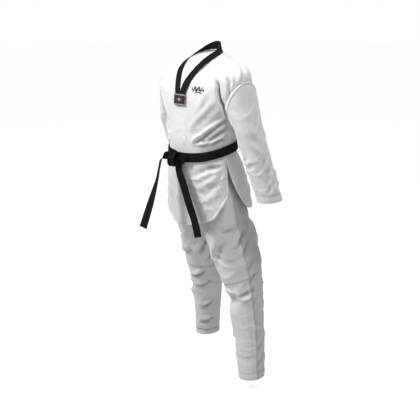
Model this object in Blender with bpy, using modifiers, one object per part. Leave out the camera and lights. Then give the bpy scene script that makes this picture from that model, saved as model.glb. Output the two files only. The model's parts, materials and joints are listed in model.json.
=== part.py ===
"""A taekwondo uniform as worn: pullover jacket with a black V collar, tied black belt and trousers.

Each cut-and-sewn panel is its own closed solid, two millimetres thick, with a small gap at every seam.
Shapes are worked out in a body frame: floor at z = 0, front towards -Y, the wearer's left towards +X.
One empty carries everything, so that the world origin lands on the collar at the nape.
"""

import math

import bmesh
import bpy
from mathutils import Matrix, Vector

# ------------------------------------------------------------------ driving dimensions, in metres
CLOTH = 0.002  # thickness of a panel
SEAM_GAP = 0.0012  # between two panels that are sewn together
LAYER_GAP = 0.0010  # between two layers that lie on each other

# Jacket sections: height, half width, depth in front, depth behind, squareness.
JACKET = (
    (0.770, 0.202, 0.126, 0.192, 2.3),
    (0.850, 0.195, 0.134, 0.165, 2.3),
    (0.930, 0.182, 0.140, 0.134, 2.3),
    (1.000, 0.167, 0.144, 0.108, 2.3),
    (1.040, 0.158, 0.1455, 0.093, 2.3),
    (1.056, 0.154, 0.1455, 0.087, 2.3),
    (1.100, 0.154, 0.1455, 0.087, 2.3),
    (1.140, 0.168, 0.148, 0.100, 2.3),
    (1.190, 0.178, 0.146, 0.112, 2.3),
    (1.240, 0.210, 0.142, 0.118, 2.3),
    (1.300, 0.238, 0.138, 0.118, 2.3),
    (1.350, 0.245, 0.124, 0.110, 2.3),
    (1.380, 0.242, 0.102, 0.100, 2.3),
    (1.396, 0.232, 0.088, 0.092, 2.3),
    (1.410, 0.187, 0.072, 0.082, 2.2),
    (1.424, 0.144, 0.056, 0.073, 2.1),
    (1.440, 0.078, 0.039, 0.061, 2.0),
)
# How much the sections rise per metre towards the back.
ROW_TILT = ((0.770, 0.24), (1.100, 0.24), (1.190, 0.0), (1.370, 0.0), (1.440, 0.40))
BELT_Z = 1.078
BELT_WIDTH = 0.040
BELT_THICKNESS = 0.0028
BELT_HALF = BELT_WIDTH / 2 - 0.0005
SKIRT_TOP_Z = BELT_Z - BELT_WIDTH / 2 - SEAM_GAP
JACKET_LOW_Z = SKIRT_TOP_Z + SEAM_GAP
ARMPIT_Z = 1.190
NECK_Z = 1.440
SIDE_ANGLE = math.radians(80)  # where the front panel meets the side gusset
YOKE_TURN_Z = 1.204  # above this the front and back panels meet each other

VENT_TOP_Z = 1.010
VENT_TOP_ANGLE = math.radians(80)
VENT_CORNER_Z = 0.890
VENT_CORNER_ANGLE = math.radians(76.5)
FRONT_HEM_Z = 0.776
FRONT_HEM_RISE = 0.035
FRONT_CORNER_SHARE = 0.78  # where round the flap the cut-off corner starts
BACK_HEM_Z = 0.782
BACK_CURVE_SHARE = 0.45  # where round the flap the rounded corner starts
BACK_CURVE_POWER = 2.8

ARMHOLE_BOTTOM = Vector((0.183, 0.0, 1.193))
ARMHOLE_TOP = Vector((0.244, 0.0, 1.352))
ARMHOLE_HALF_DEPTH = 0.074
ARMHOLE_GAP = 0.003

# Sleeve sections: height, centre across, centre fore and aft, half width, half depth.
LEFT_SLEEVE = (
    (0.874, 0.314, 0.070, 0.043, 0.061),
    (0.930, 0.300, 0.060, 0.045, 0.062),
    (1.020, 0.276, 0.042, 0.048, 0.064),
    (1.100, 0.257, 0.026, 0.050, 0.066),
    (1.165, 0.243, 0.012, 0.049, 0.067),
)
RIGHT_SLEEVE = (
    (0.874, -0.278, 0.150, 0.043, 0.061),
    (0.930, -0.268, 0.124, 0.045, 0.062),
    (1.020, -0.256, 0.084, 0.048, 0.064),
    (1.100, -0.247, 0.048, 0.050, 0.066),
    (1.165, -0.239, 0.020, 0.049, 0.067),
)
ELBOW_Z = 1.020
CUFF_Z = 0.874
CUFF_BAND = 0.030

# Leg sections: height, centre across, centre fore and aft, half width, half depth.
LEFT_LEG = (
    (0.056, 0.2260, 0.068, 0.0520, 0.064),
    (0.250, 0.1960, 0.078, 0.0600, 0.076),
    (0.470, 0.1540, 0.076, 0.0720, 0.100),
    (0.600, 0.1190, 0.066, 0.0790, 0.122),
    (0.735, 0.0880, 0.050, 0.0830, 0.136),
)
RIGHT_LEG = (
    (0.076, -0.2380, 0.222, 0.0520, 0.064),
    (0.250, -0.2080, 0.194, 0.0580, 0.072),
    (0.470, -0.1570, 0.138, 0.0720, 0.096),
    (0.600, -0.1190, 0.094, 0.0790, 0.116),
    (0.735, -0.0880, 0.052, 0.0830, 0.134),
)
CROTCH_Z = 0.735
KNEE_Z = 0.470
LEG_HEM_BAND = 0.030
STRIPE_HALF_ANGLE = math.radians(15)  # the panel down the outside of each leg

# Trouser seat sections, as for the jacket.
SEAT = (
    (0.736, 0.172, 0.088, 0.182, 2.5),
    (0.800, 0.173, 0.100, 0.166, 2.4),
    (0.900, 0.160, 0.112, 0.126, 2.3),
    (0.980, 0.148, 0.118, 0.096, 2.3),
    (1.060, 0.136, 0.120, 0.068, 2.2),
)
WAISTBAND_Z = 1.020
WAISTBAND_TOP_Z = 1.058

COLLAR_WIDTH = 0.041
COLLAR_BOTTOM_Z = 1.333  # where the inner edges of the V meet
COLLAR_SLOPE = 0.57  # sideways run of the V per metre of rise
COLLAR_END_Z = 1.278
COLLAR_THICKNESS = 0.003
COLLAR_LIFT = 0.0065  # outer face of the band over the panel
COLLAR_ACROSS = COLLAR_WIDTH * math.hypot(1, COLLAR_SLOPE)  # the band measured level
SHOULDER_SEAM_ANGLE = math.radians(96)  # where the back collar meets the front ones
PANEL_UNDER_COLLAR = 0.012
# Seat of the band round the neck: angle from the front in degrees, height, and the band's lean
# towards the middle, forwards and up.
NECKLINE = (
    (63.0, 1.4300, 1.00, 0.55, 0.00),
    (69.0, 1.4330, 0.97, 0.42, 0.12),
    (81.0, 1.4365, 0.90, 0.10, 0.35),
    (100.0, 1.4385, 0.75, 0.00, 0.62),
    (135.0, 1.4385, 0.34, 0.00, 0.92),
    (180.0, 1.4385, 0.00, 0.00, 1.00),
)

PATCH_WIDTH = 0.066
PATCH_BOTTOM_Z = 1.254
PATCH_TOP_Z = 1.300
EMBLEM_CENTRE = (0.090, 1.322)
EMBLEM_SIZE = (0.066, 0.036)

KNOT_SIZE = Vector((0.050, 0.024, 0.030))
KNOT_TILT = math.radians(24)
KNOT_LOOP_WIDTH = 0.026
TAIL_WIDTH = 0.040
TAIL_DROP = 0.030  # from the knot's underside to where a tail starts to swing

NAPE_HALF_ANGLE = math.radians(7.6)  # half of the flat facet at the back of the collar

WHITE = (0.86, 0.86, 0.86, 1.0)
TROUSER_WHITE = (0.80, 0.80, 0.80, 1.0)
BLACK = (0.012, 0.012, 0.013, 1.0)


# ------------------------------------------------------------------ tools
def spread(start, end, count):
    """Evenly spaced numbers from start to end, both included."""
    return [start + (end - start) * i / (count - 1) for i in range(count)]


def between(stations, z):
    """The values at height z of a smooth curve through the stations, without overshoot."""
    last = len(stations) - 1
    z = min(max(z, stations[0][0]), stations[last][0])
    i = max(k for k in range(last) if stations[k][0] <= z + 1e-9)
    low, high = stations[i], stations[i + 1]
    before, after = stations[max(i - 1, 0)], stations[min(i + 2, last)]
    span = high[0] - low[0]
    s = (z - low[0]) / span
    values = []
    for k in range(1, len(low)):
        rise = high[k] - low[k]
        start = (high[k] - before[k]) / (high[0] - before[0]) * span
        end = (after[k] - low[k]) / (after[0] - low[0]) * span
        start = 0.0 if rise * (low[k] - before[k]) < 0 or rise == 0 else start
        end = 0.0 if rise * (after[k] - high[k]) < 0 or rise == 0 else end
        values.append(
            low[k] * (2 * s**3 - 3 * s**2 + 1)
            + high[k] * (3 * s**2 - 2 * s**3)
            + start * (s**3 - 2 * s**2 + s)
            + end * (s**3 - s**2)
        )
    return values


def body_point(stations, angle, z, out=0.0, tilted=True):
    """A point on a body section. Angle 0 is the front and 90 degrees the wearer's left."""
    half, front, back, square = between(stations, z)
    c, s = math.cos(angle), math.sin(angle)
    depth = (front if c > 0 else back) + out
    radius = (abs(s / (half + out)) ** square + abs(c / depth) ** square) ** (-1 / square)
    y = -radius * c
    rise = between(ROW_TILT, z)[0] * y if tilted else 0.0
    return Vector((radius * s, y, z + rise))


def chest_surface(x, z):
    """The point on the front of the jacket at this width and section, above the armpit."""
    half, front, _, square = between(JACKET, z)
    y = -front * (1 - abs(x / half) ** square) ** (1 / square)
    return Vector((x, y, z + between(ROW_TILT, z)[0] * y))


def chest_point(x, z, lift=0.0):
    """The same point, lifted straight off the cloth."""
    here = chest_surface(x, z)
    across = chest_surface(x + 0.004, z) - here
    down = chest_surface(x, z - 0.004) - here
    return here + down.cross(across).normalized() * lift


def tube_point(stations, angle, z):
    """A point on a sleeve or leg section. Angle 0 is the front and 90 degrees is +X."""
    across, fore, half, depth = between(stations, z)
    return Vector((across + half * math.sin(angle), fore - depth * math.cos(angle), z))


def grid_mesh(name, rows, closed=False):
    """A sheet through rows of points that run from low to high, each from the right to the left."""
    bm = bmesh.new()
    verts = [[bm.verts.new(p) for p in row] for row in rows]
    for low, high in zip(verts, verts[1:]):
        for i in range(len(low) if closed else len(low) - 1):
            j = (i + 1) % len(low)
            bm.faces.new((low[i], low[j], high[j], high[i]))
    mesh = bpy.data.meshes.new(name)
    bm.to_mesh(mesh)
    bm.free()
    return mesh


def trim(mesh, point, normal, chosen):
    """Cuts away what lies beyond the plane, on its normal's side, among the chosen faces."""
    bm = bmesh.new()
    bm.from_mesh(mesh)
    faces = [f for f in bm.faces if chosen(f.calc_center_median())]
    edges = {e for f in faces for e in f.edges}
    verts = {v for f in faces for v in f.verts}
    geometry = faces + list(edges) + list(verts)
    bmesh.ops.bisect_plane(bm, geom=geometry, plane_co=point, plane_no=normal, dist=1e-5)
    gone = []
    for face in bm.faces:
        centre = face.calc_center_median()
        if chosen(centre) and (centre - point).dot(normal) > 1e-6:
            gone.append(face)
    bmesh.ops.delete(bm, geom=gone, context="FACES")
    bm.to_mesh(mesh)
    bm.free()


class Workshop:
    """What every piece shares: its collection, its parent empty and the three cloth colours."""

    def __init__(self):
        for obj in list(bpy.data.objects):
            bpy.data.objects.remove(obj)
        self.collection = bpy.data.collections.new("martial_arts_uniform")
        bpy.context.scene.collection.children.link(self.collection)
        self.root = self.empty("uniform_origin", -nape_point(), None)

    def empty(self, name, location, parent):
        empty = bpy.data.objects.new(name, None)
        empty.location = location
        empty.parent = parent
        self.collection.objects.link(empty)
        return empty

    def pivot(self, name, point, parent=None):
        """An empty on a joint's axis, and the body-frame point that its children count from."""
        parent_point = Vector((0.0, 0.0, 0.0)) if parent is None else parent["point"]
        parent_empty = self.root if parent is None else parent["empty"]
        empty = self.empty(name, point - parent_point, parent_empty)
        return {"empty": empty, "point": point}

    def material(self, name, colour, roughness):
        material = bpy.data.materials.new(name)
        material.use_nodes = True
        shader = material.node_tree.nodes["Principled BSDF"]
        shader.inputs["Base Color"].default_value = colour
        shader.inputs["Roughness"].default_value = roughness
        shader.inputs["Metallic"].default_value = 0.0
        return material

    def piece(self, name, mesh, colour, carrier=None, roughness=0.85):
        """A named object whose mesh is given in the body frame, carried by a pivot."""
        point = Vector((0.0, 0.0, 0.0)) if carrier is None else carrier["point"]
        mesh.transform(Matrix.Translation(-point))
        mesh.shade_smooth()
        mesh.set_sharp_from_angle(angle=math.radians(40))
        obj = bpy.data.objects.new(name, mesh)
        obj.parent = self.root if carrier is None else carrier["empty"]
        mesh.materials.append(self.material(name, colour, roughness))
        self.collection.objects.link(obj)
        return obj

    def panel(self, name, mesh, colour, carrier=None, thickness=CLOTH, outward=False):
        """A sheet of cloth given by one face and thickened to the other."""
        obj = self.piece(name, mesh, colour, carrier)
        solidify = obj.modifiers.new("thickness", "SOLIDIFY")
        solidify.thickness = thickness
        solidify.offset = 1.0 if outward else -1.0
        solidify.use_even_offset = True
        return obj


# ------------------------------------------------------------------ jacket
def seam(radius):
    """Half a seam gap, as an angle at this distance from the body's axis."""
    return SEAM_GAP / 2 / radius


def armhole(side):
    """Centre, outward axis and upward direction of the armhole on the left (1) or right (-1)."""
    bottom = Vector((ARMHOLE_BOTTOM.x * side, 0.0, ARMHOLE_BOTTOM.z))
    top = Vector((ARMHOLE_TOP.x * side, 0.0, ARMHOLE_TOP.z))
    up = (top - bottom).normalized()
    axis = Vector((up.z * side, 0.0, -abs(up.x)))
    return (bottom + top) / 2, axis, up, (top - bottom).length / 2


def body_panel_mesh(name, middle):
    """The front (middle angle 0) or back (pi) panel, from under the belt to the neckline."""
    side = SIDE_ANGLE - seam(0.17)
    shoulder = math.pi / 2 - seam(0.10)
    heights = [JACKET_LOW_Z, BELT_Z, 1.100, 1.145, ARMPIT_Z]
    heights += [YOKE_TURN_Z, 1.24, 1.27, 1.30, 1.33, 1.352, 1.370, 1.385, 1.396, 1.410, 1.424]
    heights += [NECK_Z - SEAM_GAP]
    rows = []
    for z in heights:
        reach = side if z <= ARMPIT_Z else shoulder
        rows.append([body_point(JACKET, middle + a, z) for a in spread(-reach, reach, 17)])
    mesh = grid_mesh(name, rows)
    for side_sign in (1, -1):
        centre, axis, _, _ = armhole(side_sign)
        edge = centre - axis * ARMHOLE_GAP / 2
        trim(mesh, edge, axis, lambda c, s=side_sign: c.z > ARMPIT_Z and c.x * s > 0)
    return mesh


def jacket_front(shop):
    mesh = body_panel_mesh("jacket_front_panel", 0.0)
    opening = Vector((PANEL_UNDER_COLLAR, 0.0, COLLAR_BOTTOM_Z))
    for side in (1, -1):
        inward = Vector((-side, 0.0, COLLAR_SLOPE)).normalized()
        start = Vector((opening.x * side, 0.0, opening.z))
        trim(mesh, start, inward, lambda c, s=side: c.x * s > 0 and c.z > ARMPIT_Z)
    shop.panel("jacket_front_panel", mesh, WHITE)


def jacket_back(shop):
    shop.panel("jacket_back_panel", body_panel_mesh("jacket_back_panel", math.pi), WHITE)


def side_gusset(shop, side, word):
    """The narrow panel under the arm, between the front and the back."""
    name = f"{word}_side_gusset"
    start, end = SIDE_ANGLE + seam(0.17), math.pi - SIDE_ANGLE - seam(0.17)
    angles = spread(start, end, 3) if side > 0 else spread(-end, -start, 3)
    heights = (JACKET_LOW_Z, BELT_Z, 1.100, 1.145, ARMPIT_Z - SEAM_GAP)
    rows = [[body_point(JACKET, a, z) for a in angles] for z in heights]
    shop.panel(name, grid_mesh(name, rows), WHITE)


def front_vent_angle(z):
    """The front flap narrows a little towards its cut-off corners."""
    run = (z - VENT_CORNER_Z) / (VENT_TOP_Z - VENT_CORNER_Z)
    share = min(max(run, 0.0), 1.0)
    return VENT_CORNER_ANGLE + (VENT_TOP_ANGLE - VENT_CORNER_ANGLE) * share


def front_hem(share):
    """Hem height round the front flap: a gentle rise, then the cut-off corner."""
    share = abs(share)
    if share <= FRONT_CORNER_SHARE:
        return FRONT_HEM_Z + FRONT_HEM_RISE * (share / FRONT_CORNER_SHARE) ** 2
    run = (share - FRONT_CORNER_SHARE) / (1 - FRONT_CORNER_SHARE)
    low = FRONT_HEM_Z + FRONT_HEM_RISE
    return low + (VENT_CORNER_Z - low) * run


def back_vent_angle(_):
    """The back flap's vents run straight down, whatever the height."""
    return math.pi - VENT_TOP_ANGLE - seam(0.17)


def back_hem(share):
    """Hem height round the back flap: level, then a rounded corner up to the vent."""
    run = max(abs(share) - BACK_CURVE_SHARE, 0.0) / (1 - BACK_CURVE_SHARE)
    return BACK_HEM_Z + (VENT_TOP_Z - BACK_HEM_Z) * run**BACK_CURVE_POWER


def flap_mesh(name, middle, vent_angle, hem, shares, depth_shares, out=0.0):
    """A skirt flap that hangs from the belt line, between two vents."""
    rows = []
    for depth in depth_shares:
        row = []
        for share in shares:
            z = hem(share) + (SKIRT_TOP_Z - hem(share)) * depth
            angle = middle + share * (vent_angle(z) - seam(0.17))
            row.append(body_point(JACKET, angle, z, out))
        rows.append(row)
    return grid_mesh(name, rows)


def skirt(shop, word, middle, vent_angle, hem):
    """One flap with the facings that are turned in along its vents."""
    pivot = shop.pivot(f"{word}_skirt_hinge", skirt_hinge(middle))
    name = f"jacket_{word}_skirt"
    steps = (0.22, 0.45, 0.62, 0.78, 0.86, 0.93, 1.0)
    shares = [-s for s in reversed(steps)] + [0.0] + list(steps)
    depths = (0.0, 0.2, 0.45, 0.7, 0.88, 1.0)
    mesh = flap_mesh(name, middle, vent_angle, hem, shares, depths)
    shop.panel(name, mesh, WHITE, pivot)
    inset = -(CLOTH + LAYER_GAP)
    for side, side_word in ((1, "left"), (-1, "right")):
        on_plus = side * math.cos(middle) > 0
        edge = shares[-2:] if on_plus else shares[:2]
        facing = f"{word}_vent_facing_{side_word}"
        facing_depths = depths if middle == 0.0 else depths[:3]  # the back vents are short
        mesh = flap_mesh(facing, middle, vent_angle, hem, edge, facing_depths, inset)
        shop.panel(facing, mesh, WHITE, pivot, thickness=CLOTH / 2)
    return pivot


def skirt_hinge(middle):
    """The point of a flap's top edge that is furthest from the body, so that the rest swings clear."""
    return body_point(JACKET, middle, SKIRT_TOP_Z)


# ------------------------------------------------------------------ sleeves
def sleeve(shop, side, word, stations):
    centre, axis, up, radius = armhole(side)
    shoulder = shop.pivot(f"{word}_shoulder_joint", centre)
    angles = [math.tau * i / 20 for i in range(20)]
    start = centre + axis * ARMHOLE_GAP / 2
    ring = []
    for a in angles:
        rise = up * math.sin(a) * side * radius
        ring.append(start + rise + Vector((0.0, -math.cos(a) * ARMHOLE_HALF_DEPTH, 0.0)))
    rows = [[tube_point(stations, a, z) for a in angles] for z in (ELBOW_Z + SEAM_GAP, 1.10, 1.165)]
    middle = [(a + b) / 2 for a, b in zip(rows[-1], ring)]
    name = f"{word}_sleeve_upper"
    mesh = grid_mesh(name, rows + [middle, ring], closed=True)
    shop.panel(name, mesh, WHITE, shoulder)

    elbow = shop.pivot(f"{word}_elbow_joint", tube_point(stations, 0.0, ELBOW_Z), shoulder)
    band_top = CUFF_Z + CUFF_BAND
    name = f"{word}_sleeve_lower"
    heights = (band_top + SEAM_GAP, 0.92, 0.97, ELBOW_Z)
    rows = [[tube_point(stations, a, z) for a in angles] for z in heights]
    shop.panel(name, grid_mesh(name, rows, closed=True), WHITE, elbow)
    name = f"{word}_cuff_hem"
    rows = [[tube_point(stations, a, z) for a in angles] for z in (CUFF_Z, band_top)]
    shop.panel(name, grid_mesh(name, rows, closed=True), WHITE, elbow)


# ------------------------------------------------------------------ collar, patch and labels
def neckline(angle):
    """Outer lower edge of the collar band round the neck, and the lean of the band from it."""
    z, inward, forward, up = between(NECKLINE, math.degrees(abs(angle)))
    base = body_point(JACKET, angle, z)
    turn, drop = math.radians(1.5), 0.002
    round_way = body_point(JACKET, angle + turn, z) - body_point(JACKET, angle - turn, z)
    down_way = body_point(JACKET, angle, z - drop) - body_point(JACKET, angle, z)
    base += down_way.cross(round_way).normalized() * COLLAR_LIFT
    lean = Vector((-math.copysign(inward, angle), -forward, up)).normalized()
    return base, lean * COLLAR_WIDTH


def nape_point():
    """The middle of the flat facet at the back of the collar, in the body frame."""
    base, lean = neckline(math.pi - NAPE_HALF_ANGLE)
    return Vector((0.0, base.y + lean.y / 2, base.z + lean.z / 2))


def collar_back(shop):
    """The standing part at the back of the neck, with a flat facet at the nape."""
    name = "collar_band_back"
    half_turn = math.pi - SHOULDER_SEAM_ANGLE
    right_steps = spread(-half_turn, -NAPE_HALF_ANGLE, 6)
    steps = right_steps + [-step for step in reversed(right_steps)]
    low, high = [], []
    for step in steps:
        angle = step + math.pi if step < 0 else step - math.pi
        base, lean = neckline(angle)
        low.append(base)
        high.append(base + lean)
    shop.panel(name, grid_mesh(name, [low, high]), BLACK, thickness=COLLAR_THICKNESS)


def collar_front(shop, side, word):
    """From the shoulder seam down to the point of the V, where it meets the other side."""
    name = f"collar_band_{word}"
    rows = []
    for turn in spread(SHOULDER_SEAM_ANGLE - 0.02, math.radians(NECKLINE[0][0]), 6):
        base, lean = neckline(turn * side)
        rows.append([base, base + lean * 0.5, base + lean])
    for z in (1.415, 1.402, 1.390, 1.377, 1.362, 1.34, 1.31, COLLAR_END_Z):
        run = COLLAR_SLOPE * (z - COLLAR_BOTTOM_Z)
        inner = max(run, SEAM_GAP / 2)
        outer = run + COLLAR_ACROSS
        middle = (inner + outer) / 2
        rows.append([chest_point(x * side, z, COLLAR_LIFT) for x in (outer, middle, inner)])
    rows = [row if side < 0 else row[::-1] for row in reversed(rows)]
    shop.panel(name, grid_mesh(name, rows), BLACK, thickness=COLLAR_THICKNESS)


def chest_badge(shop, name, centre_x, size, low_z, high_z, out, colour, thickness):
    """A flat-sewn badge that follows the chest."""
    columns = spread(centre_x - size / 2, centre_x + size / 2, 5)
    rows = [[chest_point(x, z, out) for x in columns] for z in spread(low_z, high_z, 4)]
    shop.panel(name, grid_mesh(name, rows), colour, thickness=thickness, outward=True)


def badges(shop):
    over_collar = COLLAR_LIFT + LAYER_GAP
    ends = (PATCH_BOTTOM_Z, PATCH_TOP_Z)
    chest_badge(shop, "collar_patch", 0.0, PATCH_WIDTH, *ends, over_collar, BLACK, 0.0015)
    x, z = EMBLEM_CENTRE
    width, height = EMBLEM_SIZE
    ends = (z - height / 2, z + height / 2)
    chest_badge(shop, "chest_emblem", x, width, *ends, LAYER_GAP, BLACK, 0.0010)
    name = "nape_label"
    inset = -(CLOTH + LAYER_GAP)
    angles = spread(math.radians(160), math.radians(200), 5)
    rows = [[body_point(JACKET, a, h, inset) for a in angles] for h in (1.398, 1.411, 1.424)]
    shop.panel(name, grid_mesh(name, rows), WHITE, thickness=0.0008)


# ------------------------------------------------------------------ belt
def belt_wrap(shop, name, layer):
    """One turn of the belt round the waist."""
    out = LAYER_GAP + layer * (BELT_THICKNESS + LAYER_GAP)
    angles = [math.tau * i / 36 for i in range(36)]
    heights = (BELT_Z - BELT_HALF, BELT_Z + BELT_HALF)
    rows = [[body_point(JACKET, a, z, out) for a in angles] for z in heights]
    mesh = grid_mesh(name, rows, closed=True)
    shop.panel(name, mesh, BLACK, thickness=BELT_THICKNESS, outward=True)


def rounded_block(name, size, rounding, segments=2):
    bm = bmesh.new()
    bmesh.ops.create_cube(bm, size=1.0)
    bmesh.ops.scale(bm, vec=size, verts=bm.verts)
    bmesh.ops.bevel(
        bm,
        geom=list(bm.edges),
        offset=rounding,
        segments=segments,
        profile=0.5,
        affect="EDGES",
    )
    mesh = bpy.data.meshes.new(name)
    bm.to_mesh(mesh)
    bm.free()
    return mesh


def knot(shop):
    """The flat knot: a core that the tails come out of, and the last turn drawn over it."""
    front = body_point(JACKET, 0.0, BELT_Z)
    out = 2 * (LAYER_GAP + BELT_THICKNESS) + LAYER_GAP + KNOT_SIZE.y / 2
    centre = front + Vector((0.0, -out, 0.0))
    turn = Matrix.Translation(centre) @ Matrix.Rotation(KNOT_TILT, 4, "Y")
    core = KNOT_SIZE - Vector((0.0, 0.010, 0.010))
    mesh = rounded_block("belt_knot_core", core, 0.005)
    mesh.transform(turn)
    shop.piece("belt_knot_core", mesh, BLACK)
    name = "belt_knot_loop"
    angles = [math.tau * i / 20 for i in range(20)]
    rows = []
    for x in (-KNOT_LOOP_WIDTH / 2, KNOT_LOOP_WIDTH / 2):
        row = []
        for a in angles:
            c, s = math.cos(a), math.sin(a)
            reach = (abs(c) ** 4 + abs(s) ** 4) ** -0.25
            y, z = KNOT_SIZE.y / 2 * c * reach, KNOT_SIZE.z / 2 * s * reach
            row.append(turn @ Vector((x, y, z)))
        rows.append(row)
    mesh = grid_mesh(name, rows, closed=True)
    shop.panel(name, mesh, BLACK, thickness=BELT_THICKNESS)
    return centre


def belt_tail(shop, word, skirt_pivot, path, turns):
    """A free end of the belt: a flat strip along a path, turned about it by a growing angle."""
    name = f"{word}_belt_tail"
    pivot = shop.pivot(f"{word}_tail_hinge", path[0], skirt_pivot)
    rows = []
    for i, (point, turn) in enumerate(zip(path, turns)):
        down = (path[min(i + 1, len(path) - 1)] - path[max(i - 1, 0)]).normalized()
        width = 0.62 * TAIL_WIDTH if i == 0 else TAIL_WIDTH
        across = Matrix.Rotation(turn, 3, "Z") @ Vector((1.0, 0.0, 0.0))
        across = (across - down * across.dot(down)).normalized() * width / 2
        rows.append([point - across, point, point + across])
    shop.panel(name, grid_mesh(name, rows[::-1]), BLACK, pivot, thickness=BELT_THICKNESS)


def belt(shop, skirt_pivot):
    belt_wrap(shop, "belt_inner_wrap", 0)
    belt_wrap(shop, "belt_outer_wrap", 1)
    centre = knot(shop)
    top = centre.z - KNOT_SIZE.z / 2 - TAIL_DROP
    left = [
        Vector((0.012, centre.y, top)),
        Vector((0.036, centre.y - 0.003, top - 0.052)),
        Vector((0.076, centre.y, top - 0.146)),
        Vector((0.103, centre.y + 0.008, top - 0.216)),
        Vector((0.122, centre.y + 0.010, top - 0.282)),
    ]
    right = [
        Vector((-0.014, centre.y - 0.004, top)),
        Vector((-0.034, centre.y - 0.042, top - 0.014)),
        Vector((-0.046, centre.y - 0.068, top - 0.062)),
        Vector((-0.064, centre.y - 0.092, top - 0.155)),
        Vector((-0.079, centre.y - 0.120, top - 0.255)),
    ]
    belt_tail(shop, "left", skirt_pivot, left, (0.0, 0.05, 0.1, 0.1, 0.1))
    belt_tail(shop, "right", skirt_pivot, right, (0.0, -0.5, -0.7, -0.5, -0.2))


# ------------------------------------------------------------------ trousers
def trouser_seat(shop):
    """The seat in a front and a back half, the waistband with its drawcord, and the crotch piece."""
    heights = (0.736, 0.79, 0.85, 0.92, 0.97, WAISTBAND_Z - SEAM_GAP)
    for word, middle in (("front", 0.0), ("back", math.pi)):
        reach = math.pi / 2 - seam(0.10)
        angles = [middle + a for a in spread(-reach, reach, 13)]
        name = f"trouser_seat_{word}"
        rows = [[body_point(SEAT, a, z, tilted=False) for a in angles] for z in heights]
        shop.panel(name, grid_mesh(name, rows), TROUSER_WHITE)
    angles = [math.tau * i / 32 for i in range(32)]
    name = "trouser_waistband"
    heights = (WAISTBAND_Z, 1.038, WAISTBAND_TOP_Z)
    rows = [[body_point(SEAT, a, z, tilted=False) for a in angles] for z in heights]
    shop.panel(name, grid_mesh(name, rows, closed=True), TROUSER_WHITE, thickness=0.004)

    name = "crotch_gusset"
    rows = []
    for x, drop in ((-0.030, 0.006), (0.0, 0.0), (0.030, 0.006)):
        ys = spread(-0.078, 0.158, 9)
        rows.append([Vector((x, y, CROTCH_Z + 0.012 - drop)) for y in ys])
    shop.panel(name, grid_mesh(name, rows), TROUSER_WHITE)


def drawcord(shop):
    """The cord's two tied ends, hanging inside the front of the jacket."""
    curve = bpy.data.curves.new("drawcord", "CURVE")
    curve.dimensions = "3D"
    curve.bevel_depth = 0.0025
    curve.bevel_resolution = 1
    curve.use_fill_caps = True
    y = -SEAT[-1][2] - 0.0045
    points = [(-0.016, -0.075), (-0.012, -0.03), (-0.006, -0.004), (0.006, -0.004), (0.012, -0.03)]
    points.append((0.017, -0.085))
    spline = curve.splines.new("POLY")
    spline.points.add(len(points) - 1)
    for target, (x, drop) in zip(spline.points, points):
        target.co = (x, y, 1.044 + drop, 1.0)
    obj = bpy.data.objects.new("trouser_drawcord", curve)
    obj.parent = shop.root
    curve.materials.append(shop.material("trouser_drawcord", WHITE, 0.8))
    shop.collection.objects.link(obj)


def leg(shop, side, word, stations):
    """Thigh and shin in three panels each, and the turned-up hem. The stripe is the outer panel."""
    outer = math.pi / 2 * side
    edge = STRIPE_HALF_ANGLE
    gap = seam(0.09)
    to_seam = (edge + gap) * side
    spans = {
        "stripe": (outer - edge + gap, outer + edge - gap, 4),
        "front": (*sorted((gap * side - outer, outer - to_seam)), 9),
        "back": (*sorted((outer + to_seam, math.tau * side - outer - gap * side)), 9),
    }
    hip = shop.pivot(f"{word}_hip_joint", tube_point(stations, 0.0, CROTCH_Z))
    knee_point = tube_point(stations, math.pi, KNEE_Z)
    knee = shop.pivot(f"{word}_knee_joint", knee_point, hip)
    hem_z = stations[0][0]
    hem_top = hem_z + LEG_HEM_BAND
    parts = (
        ("thigh", hip, (KNEE_Z + SEAM_GAP, 0.535, 0.60, 0.67, CROTCH_Z)),
        ("shin", knee, (hem_top + SEAM_GAP, 0.15, 0.25, 0.36, KNEE_Z)),
    )
    for part, pivot, heights in parts:
        for panel, (start, end, count) in spans.items():
            name = f"{word}_{part}_{panel}"
            rows = [[tube_point(stations, a, z) for a in spread(start, end, count)] for z in heights]
            shop.panel(name, grid_mesh(name, rows), TROUSER_WHITE, pivot)
    name = f"{word}_leg_hem"
    angles = [math.tau * i / 24 for i in range(24)]
    ring = [tube_point(stations, a, hem_z) for a in angles]
    rows = [ring, [p + Vector((0.0, 0.0, LEG_HEM_BAND)) for p in ring]]
    mesh = grid_mesh(name, rows, closed=True)
    shop.panel(name, mesh, TROUSER_WHITE, knee)


def build():
    shop = Workshop()
    jacket_front(shop)
    jacket_back(shop)
    for side, word in ((1, "left"), (-1, "right")):
        side_gusset(shop, side, word)
        collar_front(shop, side, word)
    collar_back(shop)
    badges(shop)
    front_skirt = skirt(shop, "front", 0.0, front_vent_angle, front_hem)
    skirt(shop, "back", math.pi, back_vent_angle, back_hem)
    sleeve(shop, 1, "left", LEFT_SLEEVE)
    sleeve(shop, -1, "right", RIGHT_SLEEVE)
    belt(shop, front_skirt)
    trouser_seat(shop)
    drawcord(shop)
    leg(shop, 1, "left", LEFT_LEG)
    leg(shop, -1, "right", RIGHT_LEG)


build()
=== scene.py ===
"""The looks of a martial arts uniform: fine cloth, seams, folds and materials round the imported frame.

Everything is shaped in a body frame: the floor at z = 0, the wearer facing -Y, the wearer's left towards +X.
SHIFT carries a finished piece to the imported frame, whose origin is the nape.
"""

import json
import math

import bmesh
import bpy
import numpy as np
from mathutils import Matrix, Vector, noise
from mathutils.bvhtree import BVHTree


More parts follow.
